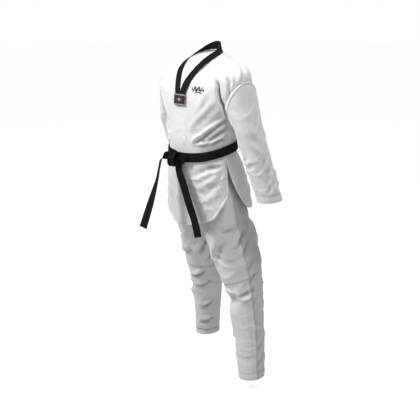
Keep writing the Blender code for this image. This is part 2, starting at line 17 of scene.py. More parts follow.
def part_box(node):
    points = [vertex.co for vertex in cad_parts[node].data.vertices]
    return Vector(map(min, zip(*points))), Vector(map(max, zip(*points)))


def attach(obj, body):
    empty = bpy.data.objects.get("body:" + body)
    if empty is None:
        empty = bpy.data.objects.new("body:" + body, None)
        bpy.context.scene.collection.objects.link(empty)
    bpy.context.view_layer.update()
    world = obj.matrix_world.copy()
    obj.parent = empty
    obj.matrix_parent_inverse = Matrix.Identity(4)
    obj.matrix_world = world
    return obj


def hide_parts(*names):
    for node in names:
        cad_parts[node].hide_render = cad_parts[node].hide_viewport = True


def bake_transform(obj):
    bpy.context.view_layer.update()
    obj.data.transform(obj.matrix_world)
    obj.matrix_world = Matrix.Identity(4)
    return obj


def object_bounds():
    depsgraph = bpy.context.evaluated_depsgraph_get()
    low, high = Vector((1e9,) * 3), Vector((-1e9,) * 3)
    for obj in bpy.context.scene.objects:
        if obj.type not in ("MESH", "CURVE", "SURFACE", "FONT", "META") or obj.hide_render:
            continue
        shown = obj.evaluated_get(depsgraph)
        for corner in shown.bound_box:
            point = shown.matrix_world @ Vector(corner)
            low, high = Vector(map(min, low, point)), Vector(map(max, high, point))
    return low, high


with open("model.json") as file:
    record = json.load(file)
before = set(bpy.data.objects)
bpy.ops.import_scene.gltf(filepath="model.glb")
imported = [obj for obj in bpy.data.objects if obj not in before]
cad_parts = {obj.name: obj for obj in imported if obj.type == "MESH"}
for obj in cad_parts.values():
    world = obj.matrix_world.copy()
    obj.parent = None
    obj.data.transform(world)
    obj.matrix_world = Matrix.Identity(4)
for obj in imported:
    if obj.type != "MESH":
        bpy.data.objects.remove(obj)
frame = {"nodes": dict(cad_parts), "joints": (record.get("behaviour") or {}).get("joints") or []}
CAD_LOW, CAD_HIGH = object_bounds()

# ------------------------------------------------------------------ places taken from the frame
JOINTS = {joint["name"]: joint for joint in frame["joints"]}
HEM_OVER_FLOOR = 0.056  # the lower trouser leg ends this far above the floor
SHIFT = Vector((0.0, JOINTS["left_shoulder_swing"]["pos_m"][1], CAD_LOW.z - HEM_OVER_FLOOR))
SIDES = ((1, "left"), (-1, "right"))


def joint_point(name):
    """Where a joint is, in the body frame."""
    return Vector(JOINTS[name]["pos_m"]) - SHIFT


def node_box(node):
    low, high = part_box(node)
    return low - SHIFT, high - SHIFT


# ------------------------------------------------------------------ sizes, in metres
CLOTH = 0.0016
BELT_THICKNESS = 0.0026
WAIST_TILT = 0.24  # the belt line rises this much per metre towards the back
BELT_Z = 1.078
BELT_HALF = 0.0195
SKIRT_TOP_Z = 1.0568
SIDE_HALF_TURN = math.radians(79.8)
VENT_TOP_Z = 1.010
VENT_CORNER_Z = 0.890
VENT_CORNER_ANGLE = math.radians(76.3)
FRONT_HEM_Z = 0.776
FRONT_HEM_RISE = 0.035
FRONT_CORNER_SHARE = 0.78
BACK_HEM_Z = 0.782
BACK_CURVE_SHARE = 0.45
BACK_CURVE_POWER = 2.8
DOME_Z = 1.29  # above this the jacket is measured along rays that fan upwards
CROTCH_Z = 0.735
WAISTBAND_Z = 1.018
LEG_HEM_BAND = 0.030
KNEE_SEAM_Z = 0.500
STRIPE_ANGLE = 112  # from the front, to the middle of the side stripe
STRIPE_HALF_ANGLE = 37
CUFF_BAND = 0.030
EDGE_CLEAR = 0.005  # rays are cast no nearer than this to the open end of a tube
ARMHOLE_HALF_HEIGHT = 0.0851
ARMHOLE_HALF_DEPTH = 0.074


# ------------------------------------------------------------------ measuring the CAD shapes
def cad_tree(*nodes):
    """A tree for casting rays at these CAD nodes, in the body frame."""
    points, faces = [], []
    for node in nodes:
        mesh = frame["nodes"][node].data
        first = len(points)
        points += [v.co - SHIFT for v in mesh.vertices]
        faces += [[first + i for i in p.vertices] for p in mesh.polygons]
    return BVHTree.FromPolygons(points, faces)


def grid_tree(points):
    """A tree for casting rays at a closed grid of points."""
    rows, columns = points.shape[:2]
    verts = [Vector(p) for p in points.reshape(-1, 3)]
    faces = []
    for i in range(rows - 1):
        for j in range(columns):
            k = (j + 1) % columns
            faces.append((i * columns + j, i * columns + k, (i + 1) * columns + k, (i + 1) * columns + j))
    return BVHTree.FromPolygons(verts, faces)


def reach_of(tree, centre, direction, start=0.6):
    """How far out from the centre the outside of the shape is, or nan where there is none."""
    hit = tree.ray_cast(centre + direction * start, -direction, start)
    return math.nan if hit[0] is None else start - hit[3]


def neighbours(values, closed):
    """The mean of each value's four neighbours. Columns wrap on a closed grid."""
    up = np.concatenate([values[:1], values[:-1]])
    down = np.concatenate([values[1:], values[-1:]])
    if closed:
        before, after = np.roll(values, 1, axis=1), np.roll(values, -1, axis=1)
    else:
        before = np.concatenate([values[:, :1], values[:, :-1]], axis=1)
        after = np.concatenate([values[:, 1:], values[:, -1:]], axis=1)
    return (up + down + before + after) / 4


def smooth(values, passes, closed):
    for _ in range(passes):
        values = (values + neighbours(values, closed)) / 2
    return values


def fill(values, closed):
    """Fills the gaps in an array smoothly from what is round them."""
    known = ~np.isnan(values)
    result = np.where(known, values, np.nanmean(values))
    for _ in range(300):
        result = np.where(known, values, neighbours(result, closed))
    return result


def measure(tree, centres, directions, closed, passes=10):
    """The outside of a CAD shape along a grid of rays, its gaps filled and its facets smoothed."""
    rows, columns = directions.shape[:2]
    directions = directions / np.linalg.norm(directions, axis=2, keepdims=True)
    reach = np.empty((rows, columns))
    for i in range(rows):
        for j in range(columns):
            centre = Vector(centres[i, j] if centres.shape[1] > 1 else centres[i, 0])
            reach[i, j] = reach_of(tree, centre, Vector(directions[i, j]))
    reach = smooth(fill(reach, closed), passes, closed)
    return centres + directions * reach[:, :, None]


# ------------------------------------------------------------------ folds
FOLD_DEPTH = 1.55  # how deep all folds are, against the heights in the lists below


def normals_of(points, closed):
    """Outward unit normals of a grid whose rows go up and whose columns go from right to left."""
    along = np.gradient(points, axis=0)
    if closed:
        across = (np.roll(points, -1, axis=1) - np.roll(points, 1, axis=1)) / 2
    else:
        across = np.gradient(points, axis=1)
    normals = np.cross(across, along)
    return normals / np.maximum(np.linalg.norm(normals, axis=2, keepdims=True), 1e-9)


def curve_through(points, steps=8):
    """A smooth curve through a few points."""
    points = [np.array(p, float) for p in points]
    padded = [2 * points[0] - points[1], *points, 2 * points[-1] - points[-2]]
    result = []
    for a, b, c, d in zip(padded, padded[1:], padded[2:], padded[3:]):
        for i in range(steps):
            t = i / steps
            result.append(
                0.5 * (2 * b + (c - a) * t + (2 * a - 5 * b + 4 * c - d) * t**2
                       + (3 * b - a - 3 * c + d) * t**3)
            )
    result.append(points[-1])
    return np.array(result)


def fold(points, normals, path, width, height, hollow=0.5, side=1):
    """The lift of each point for one fold: a crest along the path, and a hollow on one side of it."""
    shape = points.shape[:2]
    p = points.reshape(-1, 3)
    nearest = np.full(len(p), 1e9)
    offset = np.zeros((len(p), 3))
    share = np.zeros(len(p))
    tangent = np.zeros((len(p), 3))
    count = len(path) - 1
    for k, (a, b) in enumerate(zip(path, path[1:])):
        d = b - a
        t = np.clip(((p - a) @ d) / max(d @ d, 1e-12), 0, 1)
        away = p - (a + t[:, None] * d)
        distance = np.linalg.norm(away, axis=1)
        closer = distance < nearest
        nearest = np.where(closer, distance, nearest)
        offset[closer] = away[closer]
        share = np.where(closer, (k + t) / count, share)
        tangent[closer] = d
    sideways = np.einsum("ij,ij->i", np.cross(tangent, offset), normals.reshape(-1, 3))
    signed = np.sign(sideways) * nearest * side
    ends = np.sin(np.pi * share) ** 0.8
    crest = np.exp(-((signed / width) ** 2))
    valley = np.exp(-(((signed - 1.5 * width) / (1.1 * width)) ** 2))
    lift = FOLD_DEPTH * height * ends * (crest - hollow * valley)
    return np.where(nearest < 4 * width, lift, 0.0).reshape(shape)


def ripples(points, size, height, seed, stretch=(1.0, 1.0, 1.0)):
    """A soft random lift, the same in every run."""
    scale = Vector(stretch) / size
    lift = np.empty(points.shape[:2])
    for i in range(points.shape[0]):
        for j in range(points.shape[1]):
            p = points[i, j]
            spot = Vector((p[0] * scale.x + seed, p[1] * scale.y, p[2] * scale.z))
            lift[i, j] = noise.noise(spot)
    return lift * height


def wrinkles(points, wide, tall, height, seed, slant=0.0):
    """Crisp random crests, longer one way than the other, the same in every run."""
    lift = np.empty(points.shape[:2])
    for i in range(points.shape[0]):
        for j in range(points.shape[1]):
            x, y, z = points[i, j]
            spot = Vector((x / wide + seed, y / wide - seed, (z + slant * (x - y)) / tall))
            bend = noise.noise(spot * 0.6 + Vector((7.0, 0.0, seed)))
            value = noise.noise(spot + Vector((0.0, 0.0, bend * 0.9)))
            lift[i, j] = max(0.0, 1.0 - abs(value) * 4.5) ** 1.4
    return (lift - 0.25) * height


def bands(z, *spans):
    """1 inside any of the (middle, half height) spans, fading to 0 outside."""
    return np.maximum.reduce([np.exp(-(((z - middle) / half) ** 2)) for middle, half in spans])


def on_surface(tree, centre, angle, z):
    """The point of a surface at this height and this angle from the front, seen from the centre."""
    middle = Vector((centre[0], centre[1], z))
    direction = Vector((math.sin(angle), -math.cos(angle), 0.0))
    reach = reach_of(tree, middle, direction)
    return middle + direction * (0.1 if math.isnan(reach) else reach)


def add_folds(points, folds, centre, closed=True):
    """Moves a grid along its normals by a list of folds, whose paths are (degrees, height) pairs."""
    tree = grid_tree(points)
    normals = normals_of(points, closed)
    lift = np.zeros(points.shape[:2])
    for path, width, height, *rest in folds:
        spots = [on_surface(tree, centre(z), math.radians(a), z) for a, z in path]
        lift += fold(points, normals, curve_through(spots), width, height, *rest)
    return points + normals * lift[:, :, None]


# Painted shade: the cloth's colour is darkened in the hollows of its folds, the more the deeper they lie.
FOLD_SHADE_PASSES = 30  # how far round a point its surroundings are averaged
FOLD_SHADE_DEPTH = 0.0045  # a hollow this deep gets the full painted shade


def fold_shade_mask(points, closed):
    """How deep each point lies in a fold, from 0 to 1, which sets how much shade is painted there."""
    around = smooth(points, FOLD_SHADE_PASSES, closed)
    depth = np.einsum("ijk,ijk->ij", around - points, normals_of(points, closed))
    return np.clip(depth / FOLD_SHADE_DEPTH, 0, 1)


# ------------------------------------------------------------------ meshes
def sheet(name, points, closed=False, keep=None, seams=None):
    """A mesh through a grid of points, with a UV map in metres.

    A second map holds how far each point is from the nearest lengthwise and crosswise seam, and a
    third how deep it lies in a fold, the mask for the shade painted into the cloth's hollows.
    """
    rows, columns = points.shape[:2]
    depth = fold_shade_mask(points, closed)
    bm = bmesh.new()
    verts = [[bm.verts.new(p) for p in row] for row in points]
    uv_layer = bm.loops.layers.uv.new("metres")
    seam_layer = bm.loops.layers.uv.new("seams")
    fold_shade_layer = bm.loops.layers.uv.new("fold_shade_mask")
    lengths = np.linalg.norm(np.diff(points, axis=0), axis=2)
    v_of = np.vstack([np.zeros(columns), np.cumsum(lengths, axis=0)])
    wrapped = np.concatenate([points, points[:, :1]], axis=1) if closed else points
    widths = np.linalg.norm(np.diff(wrapped, axis=1), axis=2).mean(axis=0)
    u_of = np.concatenate([[0.0], np.cumsum(widths)])
    for i in range(rows - 1):
        for j in range(columns if closed else columns - 1):
            if keep is not None and not keep[i, j]:
                continue
            k = (j + 1) % columns
            face = bm.faces.new((verts[i][j], verts[i][k], verts[i + 1][k], verts[i + 1][j]))
            face.smooth = True
            corners = ((j, i, j), (j + 1, i, k), (j + 1, i + 1, k), (j, i + 1, j))
            for loop, (u, v_row, v_column) in zip(face.loops, corners):
                loop[uv_layer].uv = (u_of[u], v_of[v_row, v_column])
                loop[seam_layer].uv = (1.0, 1.0) if seams is None else seams[v_row, v_column]
                loop[fold_shade_layer].uv = (depth[v_row, v_column], 0.0)
    bmesh.ops.delete(bm, geom=[v for v in bm.verts if not v.link_faces], context="VERTS")
    mesh = bpy.data.meshes.new(name)
    bm.to_mesh(mesh)
    bm.free()
    return mesh


def trim(mesh, point, normal, chosen):
    """Cuts away what lies beyond the plane, on its normal's side, among the chosen faces."""
    bm = bmesh.new()
    bm.from_mesh(mesh)
    faces = [f for f in bm.faces if chosen(f.calc_center_median())]
    edges = {e for f in faces for e in f.edges}
    verts = {v for f in faces for v in f.verts}
    geometry = faces + list(edges) + list(verts)
    bmesh.ops.bisect_plane(bm, geom=geometry, plane_co=point, plane_no=normal, dist=1e-6)
    gone = []
    for face in bm.faces:
        centre = face.calc_center_median()
        if chosen(centre) and (centre - point).dot(normal) > 1e-7:
            gone.append(face)
    bmesh.ops.delete(bm, geom=gone, context="FACES")
    bm.to_mesh(mesh)
    bm.free()


def place(name, mesh, material, thickness=CLOTH, rounded=0.0):
    """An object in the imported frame, thickened inwards."""
    mesh.materials.append(material)
    obj = bpy.data.objects.new(name, mesh)
    obj.location = SHIFT
    bpy.context.scene.collection.objects.link(obj)
    if thickness:
        solidify = obj.modifiers.new("thickness", "SOLIDIFY")
        solidify.thickness = thickness
        solidify.offset = -1.0
        solidify.use_even_offset = True
        solidify.thickness_clamp = 1.0
    if rounded:
        bevel = obj.modifiers.new("rounded edge", "BEVEL")
        bevel.width = rounded
        bevel.segments = 2
        bevel.limit_method = "ANGLE"
        bevel.angle_limit = math.radians(50)
    return obj


def bridge(obj):
    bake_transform(obj)


# ------------------------------------------------------------------ materials
class Nodes:
    """Short names for building a material's node tree."""

    def __init__(self, name):
        self.material = bpy.data.materials.new(name)
        self.material.use_nodes = True
        self.tree = self.material.node_tree
        self.shader = self.tree.nodes["Principled BSDF"]

    def add(self, kind, **inputs):
        node = self.tree.nodes.new(kind)
        for key, value in inputs.items():
            self.set(node, key.replace("_", " "), value)
        return node

    def set(self, node, key, value):
        socket = node.inputs[int(key)] if key.isdigit() else node.inputs[key]
        if isinstance(value, bpy.types.NodeSocket):
            self.tree.links.new(value, socket)
        else:
            socket.default_value = value

    def math(self, operation, a, b=0.0):
        node = self.tree.nodes.new("ShaderNodeMath")
        node.operation = operation
        self.set(node, "0", a)
        self.set(node, "1", b)
        return node.outputs[0]

    def mix(self, share, a, b):
        node = self.tree.nodes.new("ShaderNodeMix")
        node.data_type = "RGBA"
        self.set(node, "0", share)
        self.set(node, "6", a)
        self.set(node, "7", b)
        return node.outputs[2]

    def ramp(self, value, low, high):
        """0 below low and 1 above high."""
        node = self.tree.nodes.new("ShaderNodeMapRange")
        node.interpolation_type = "SMOOTHSTEP"
        for key, number in (("Value", value), ("From Min", low), ("From Max", high)):
            self.set(node, key, number)
        return node.outputs[0]

    def uv(self):
        """The UV map's two coordinates, in metres."""
        node = self.tree.nodes.new("ShaderNodeUVMap")
        node.uv_map = "metres"
        split = self.add("ShaderNodeSeparateXYZ", Vector=node.outputs[0])
        return split.outputs[0], split.outputs[1], node.outputs[0]

    def seams(self):
        """How far this spot is from the nearest lengthwise and crosswise seam."""
        node = self.tree.nodes.new("ShaderNodeUVMap")
        node.uv_map = "seams"
        split = self.add("ShaderNodeSeparateXYZ", Vector=node.outputs[0])
        return split.outputs[0], split.outputs[1]

    def hollow(self):
        """How deep in a fold this spot is, from 0 to 1: the mask for painted shade in the hollows of folds."""
        node = self.tree.nodes.new("ShaderNodeUVMap")
        node.uv_map = "fold_shade_mask"
        return self.add("ShaderNodeSeparateXYZ", Vector=node.outputs[0]).outputs[0]

    def line(self, distance, half_width):
        """1 where the distance is nearly 0, fading to 0."""
        near = self.ramp(self.math("ABSOLUTE", distance), half_width * 0.5, half_width * 1.5)
        return self.math("SUBTRACT", 1.0, near)

    def noise(self, vector, scale, detail=3.0):
        node = self.add("ShaderNodeTexNoise", Vector=vector, Scale=scale, Detail=detail)
        return node.outputs[0]

    def position(self):
        return self.tree.nodes.new("ShaderNodeTexCoord").outputs["Object"]

    def bump(self, height, distance, strength=1.0, before=None):
        node = self.add("ShaderNodeBump", Height=height, Distance=distance, Strength=strength)
        if before is not None:
            self.set(node, "Normal", before)
        return node.outputs[0]

    def wave(self, coordinate, pitch):
        """A ridge every pitch metres, from 0 to 1."""
        turns = self.math("MULTIPLY", coordinate, 2 * math.pi / pitch)
        half = self.math("MULTIPLY", self.math("SINE", turns), 0.5)
        return self.math("ADD", half, 0.5)


def seam_lines(n, u, v):
    """The crease of every seam, and a dashed row of stitches on each side of it."""
    along, across = n.seams()
    crease = n.math("MAXIMUM", n.line(along, SEAM_CREASE), n.line(across, SEAM_CREASE))
    rows = []
    for distance, run in ((along, v), (across, u)):
        row = n.line(n.math("SUBTRACT", n.math("ABSOLUTE", distance), STITCH_OFFSET), STITCH_WIDTH)
        dashes = n.ramp(n.wave(run, STITCH_PITCH), 0.25, 0.45)
        rows.append(n.math("MULTIPLY", row, dashes))
    return crease, n.math("MAXIMUM", rows[0], rows[1]), along


SEAM_CREASE = 0.0011
STITCH_OFFSET = 0.0038
STITCH_WIDTH = 0.0008
STITCH_PITCH = 0.0052
# How dark the shade painted on the trouser stripe panels is.
STRIPE_PAINTED_SHADE = 0.74
# How strongly the hollows of folds are painted with shade.
PAINTED_FOLD_SHADE = 0.60


def cloth_material(name, colour, pitch, relief, roughness=0.9, shade=0.93):
    """Cotton: a diamond weave, soft changes of tone and slubs, seams, a little sheen, painted shade in the hollows of
    folds and painted shade on the trouser stripe panels.
    """
    n = Nodes(name)
    u, v, uv = n.uv()
    right = n.wave(n.math("ADD", u, v), pitch)
    left = n.wave(n.math("SUBTRACT", u, v), pitch)
    weave = n.math("MULTIPLY", right, left)
    rib = n.wave(u, pitch * 0.71)
    weave = n.math("ADD", weave, n.math("MULTIPLY", rib, 0.35))
    tone = n.noise(n.position(), 9.0, 4.0)
    slub = n.noise(uv, 420.0, 2.0)
    dark = [c * shade for c in colour[:3]] + [1.0]
    tint = n.mix(n.ramp(tone, 0.35, 0.65), dark, colour)
    weave_shadow = n.ramp(weave, 0.0, 0.6)
    tint = n.mix(weave_shadow, [c * 0.90 for c in colour[:3]] + [1.0], tint)
    crease, stitches, along = seam_lines(n, u, v)
    # Painted shade: the stripe panels down the outer back of the trouser legs are darkened, as the side turned away
    # from the light.
    in_stripe = n.math("SUBTRACT", 1.0, n.ramp(along, -0.0010, 0.0))
    tint = n.mix(in_stripe, tint, [c * STRIPE_PAINTED_SHADE for c in colour[:3]] + [1.0])
    tint = n.mix(n.math("MULTIPLY", crease, 0.60), tint, [c * 0.50 for c in colour[:3]] + [1.0])
    tint = n.mix(n.math("MULTIPLY", stitches, 0.55), tint, [c * 0.55 for c in colour[:3]] + [1.0])
    # Painted shade: the colour is darkened towards a quarter of itself in the hollows of folds.
    tint = n.mix(n.math("MULTIPLY", n.hollow(), PAINTED_FOLD_SHADE), tint, [c * 0.25 for c in colour[:3]] + [1.0])
    n.set(n.shader, "Base Color", tint)
    rough = n.math("ADD", n.math("MULTIPLY", slub, 0.12), roughness - 0.06)
    n.set(n.shader, "Roughness", rough)
    n.set(n.shader, "Sheen Weight", 0.25)
    n.set(n.shader, "Sheen Roughness", 0.4)
    height = n.math("ADD", weave, n.math("MULTIPLY", slub, 0.6))
    sunk = n.math("SUBTRACT", 0.0, n.math("ADD", crease, n.math("MULTIPLY", stitches, 0.4)))
    n.set(n.shader, "Normal", n.bump(sunk, 0.0016, before=n.bump(height, relief)))
    return n.material


def belt_material():
    """Black cotton with rows of stitching along it."""
    n = Nodes("black_belt_cotton")
    u, v, uv = n.uv()
    row = n.wave(v, 0.0049)
    stitch = n.wave(u, 0.0030)
    groove = n.ramp(row, 0.80, 1.0)
    dash = n.math("MULTIPLY", groove, n.ramp(stitch, 0.25, 0.5))
    fibre = n.noise(uv, 900.0, 2.0)
    tint = n.mix(dash, (0.0035, 0.0035, 0.0040, 1.0), (0.0100, 0.0100, 0.0110, 1.0))
    tint = n.mix(n.math("MULTIPLY", fibre, 0.3), tint, (0.0065, 0.0065, 0.0070, 1.0))
    n.set(n.shader, "Base Color", tint)
    n.set(n.shader, "Roughness", n.math("ADD", n.math("MULTIPLY", fibre, 0.2), 0.62))
    n.set(n.shader, "Specular IOR Level", 0.18)
    height = n.math("SUBTRACT", n.math("MULTIPLY", fibre, 0.15), groove)
    n.set(n.shader, "Normal", n.bump(height, 0.0006))
    return n.material


def twill_material(name, colour):
    """Black twill, with fine slanting ribs."""
    n = Nodes(name)
    place_of = n.add("ShaderNodeSeparateXYZ", Vector=n.position())
    slant = n.math("ADD", n.math("ADD", place_of.outputs[0], place_of.outputs[1]), place_of.outputs[2])
    rib = n.wave(slant, 0.0021)
    fibre = n.noise(n.position(), 600.0, 2.0)
    n.set(n.shader, "Base Color", n.mix(rib, [c * 0.6 for c in colour[:3]] + [1.0], colour))
    n.set(n.shader, "Roughness", n.math("ADD", n.math("MULTIPLY", fibre, 0.2), 0.65))
    n.set(n.shader, "Specular IOR Level", 0.18)
    n.set(n.shader, "Normal", n.bump(n.math("ADD", rib, fibre), 0.0003))
    return n.material


def plain_material(name, colour, roughness=0.7, grain=700.0):
    """Thread or tape: one colour with fine grain."""
    n = Nodes(name)
    fibre = n.noise(n.position(), grain, 3.0)
    n.set(n.shader, "Base Color", n.mix(fibre, [c * 0.7 for c in colour[:3]] + [1.0], colour))
    n.set(n.shader, "Roughness", roughness)
    n.set(n.shader, "Normal", n.bump(fibre, 0.0003))
    return n.material


def painted_glow_lining():
    """White cloth with a painted glow: an emission that stands in for daylight coming through a single layer of
    cotton.
    """
    n = Nodes("neck_glow_lining")
    u, v, _ = n.uv()
    weave = n.math("MULTIPLY", n.wave(u, 0.0024), n.wave(v, 0.0024))
    n.set(n.shader, "Base Color", n.mix(weave, (0.80, 0.80, 0.80, 1.0), (0.90, 0.90, 0.90, 1.0)))
    n.set(n.shader, "Roughness", 0.95)
    # Painted light: the lining glows of its own, though it is no lamp.
    n.set(n.shader, "Emission Color", (1.0, 1.0, 1.0, 1.0))
    n.set(n.shader, "Emission Strength", 0.55)
    return n.material


JACKET_CLOTH = cloth_material("white_jacket_cloth", (0.90, 0.90, 0.90, 1.0), 0.0034, 0.0004)
TROUSER_CLOTH = cloth_material("white_trouser_cloth", (0.86, 0.86, 0.87, 1.0), 0.0026, 0.0003)
BELT_COTTON = belt_material()
COLLAR_TWILL = twill_material("black_twill", (0.0060, 0.0060, 0.0065, 1.0))
GLOW_LINING_CLOTH = painted_glow_lining()
WHITE_THREAD = plain_material("white_thread", (0.88, 0.88, 0.88, 1.0))
BLACK_THREAD = plain_material("black_thread", (0.012, 0.012, 0.013, 1.0), 0.5)
GREY_THREAD = plain_material("grey_thread", (0.22, 0.22, 0.23, 1.0), 0.5)
RED_THREAD = plain_material("dark_red_thread", (0.20, 0.012, 0.018, 1.0), 0.5)
LIGHT_THREAD = plain_material("light_thread", (0.55, 0.55, 0.52, 1.0), 0.5)
GOLD_THREAD = plain_material("gold_thread", (0.55, 0.40, 0.12, 1.0), 0.45)


# ------------------------------------------------------------------ jacket body
def circle(count):
    return np.arange(count) * (2 * math.pi / count)


def waist_directions(angles, tilt):
    """Rays from the body's axis that lie in a plane tilted up towards the back."""
    return np.stack([np.sin(angles), -np.cos(angles), -tilt * np.cos(angles)], axis=-1)


# The collar band from the nape round the wearer's left side to the point of the V: lower and upper edge.
COLLAR_EDGES = (
    ((0.000, 0.0674, 1.4666), (0.000, 0.0674, 1.5070)),
    ((0.030, 0.0640, 1.4655), (0.022, 0.0620, 1.5030)),
    ((0.055, 0.0470, 1.4610), (0.041, 0.0440, 1.4905)),
    ((0.070, 0.0200, 1.4525), (0.047, 0.0180, 1.4745)),
    ((0.074, -0.0100, 1.4420), (0.046, -0.0130, 1.4590)),
    ((0.072, -0.0400, 1.4290), (0.043, -0.0450, 1.4420)),
    ((0.068, -0.0680, 1.4130), (0.037, -0.0730, 1.4210)),
    ((0.063, -0.0930, 1.3950), (0.029, -0.0980, 1.3980)),
    ((0.055, -0.1130, 1.3720), (0.019, -0.1170, 1.3740)),
    ((0.045, -0.1290, 1.3450), (0.008, -0.1330, 1.3460)),
    ((0.034, -0.1420, 1.3110), (0.001, -0.1432, 1.3110)),
    ((0.020, -0.1475, 1.2720), (0.001, -0.1480, 1.2720)),
)
V_FOOT = (0.0, -0.1425, 1.303)


COLLAR_PULL = {1: -0.06, -1: 0.20}  # the collar sits a little towards the wearer's right
TUCK = 0.0032  # how far behind the band the jacket's cloth ends


def collar_edges(side):
    """The band's edges on one side of the neck, from the nape to the point of the V."""
    result = []
    last = len(COLLAR_EDGES) - 2
    for i, pair in enumerate(COLLAR_EDGES):
        spread = 1 + COLLAR_PULL[side] * math.sin(math.pi * min(i / last, 1.0)) ** 2
        result.append(tuple(np.array(p) * (side * spread, 1, 1) for p in pair))
    return result


def neckline_curve(side):
    """Where the jacket's cloth ends on one side, just behind the lower edge of the band."""
    edges = collar_edges(side)[:-1]
    low = curve_through([low for low, _ in edges], 6)
    high = curve_through([high for _, high in edges], 6)
    line = np.vstack([low + (high - low) * 0.14, V_FOOT])
    out = line * (1, 1, 0)
    return line - out * (TUCK / np.linalg.norm(out, axis=1, keepdims=True))


def neckline_points(angles):
    """The end of the jacket's cloth at each angle from the front."""
    curves = {side: neckline_curve(side)[::-1] for side in (1, -1)}
    turns = {side: np.arctan2(np.abs(c[:, 0]), -c[:, 1]) for side, c in curves.items()}
    points = []
    for angle in angles:
        turn = math.remainder(angle, 2 * math.pi)
        side = 1 if turn >= 0 else -1
        points.append([np.interp(abs(turn), turns[side], curves[side][:, k]) for k in range(3)])
    return np.array(points)


JACKET_FOLDS = (
    # The deep crease down the front of the armhole, with a ridge on the sleeve's side of it.
    (((58, 1.392), (61, 1.350), (61, 1.320), (63, 1.285), (69, 1.250), (76, 1.210)), 0.0060, -0.0200, -0.3, 1),
    (((68, 1.395), (70, 1.350), (70, 1.310), (73, 1.270)), 0.0080, 0.0060, 0.4, 1),
    (((88, 1.428), (75, 1.372), (74, 1.325), (77, 1.285)), 0.0080, 0.0055, 0.6, -1),
    (((97, 1.421), (84, 1.385), (80, 1.345)), 0.0080, 0.0045, 0.6, 1),
    (((-58, 1.392), (-61, 1.350), (-61, 1.320), (-63, 1.285), (-69, 1.250), (-76, 1.210)), 0.0060, -0.0180, -0.3, -1),
    (((-68, 1.395), (-70, 1.350), (-70, 1.310), (-73, 1.270)), 0.0080, 0.0055, 0.4, -1),
    # Drag folds from under the arm towards the knot.
    (((78, 1.225), (58, 1.180), (38, 1.135), (24, 1.105)), 0.0090, 0.0075, 0.8, 1),
    (((80, 1.190), (64, 1.158), (46, 1.120)), 0.0080, 0.0064, 0.8, 1),
    (((82, 1.150), (66, 1.128), (52, 1.100)), 0.0070, 0.0058, 0.8, 1),
    (((60, 1.290), (48, 1.245), (30, 1.190), (20, 1.150)), 0.0130, 0.0030, 0.6, 1),
    (((52, 1.330), (40, 1.270), (32, 1.225)), 0.0120, 0.0022, 0.6, 1),
    (((-78, 1.225), (-58, 1.180), (-38, 1.135), (-24, 1.105)), 0.0100, 0.0046, 0.8, -1),
    (((-80, 1.190), (-64, 1.158), (-46, 1.120)), 0.0080, 0.0042, 0.8, -1),
    (((-60, 1.290), (-48, 1.245), (-30, 1.190)), 0.0130, 0.0030, 0.6, -1),
    # The jacket blouses a little over the belt, in short tucks.
    (((26, 1.098), (44, 1.104), (62, 1.116)), 0.0060, 0.0048, 0.5, -1),
    (((56, 1.118), (70, 1.126), (84, 1.128)), 0.0060, 0.0050, 0.5, -1),
    (((36, 1.120), (42, 1.108), (46, 1.096)), 0.0060, 0.0030, 0.7, 1),
    (((8, 1.130), (12, 1.112), (13, 1.098)), 0.0060, 0.0030, 0.7, 1),
    (((-26, 1.098), (-44, 1.104), (-62, 1.116)), 0.0060, 0.0045, 0.5, 1),
    (((100, 1.128), (130, 1.136), (165, 1.130)), 0.0100, 0.0055, 0.5, -1),
    (((-100, 1.128), (-130, 1.136), (-165, 1.130)), 0.0100, 0.0055, 0.5, 1),
    (((95, 1.200), (112, 1.172), (132, 1.146)), 0.0100, 0.0055, 0.7, 1),
    (((-95, 1.200), (-112, 1.172), (-132, 1.146)), 0.0100, 0.0055, 0.7, -1),
    # Long folds down the back.
    (((122, 1.350), (130, 1.270), (146, 1.180), (156, 1.140)), 0.0130, 0.0060, 0.7, 1),
    (((-122, 1.350), (-130, 1.270), (-146, 1.180), (-156, 1.140)), 0.0130, 0.0060, 0.7, -1),
    (((172, 1.300), (176, 1.230), (171, 1.150)), 0.0140, 0.0035, 0.6, 1),
    (((146, 1.260), (156, 1.200), (168, 1.150)), 0.0100, 0.0040, 0.7, 1),
    (((-150, 1.250), (-160, 1.190), (-172, 1.150)), 0.0100, 0.0040, 0.7, -1),
)


BODY_COLUMNS = 320
BODY_ROWS = 58
DOME_ROWS = 62


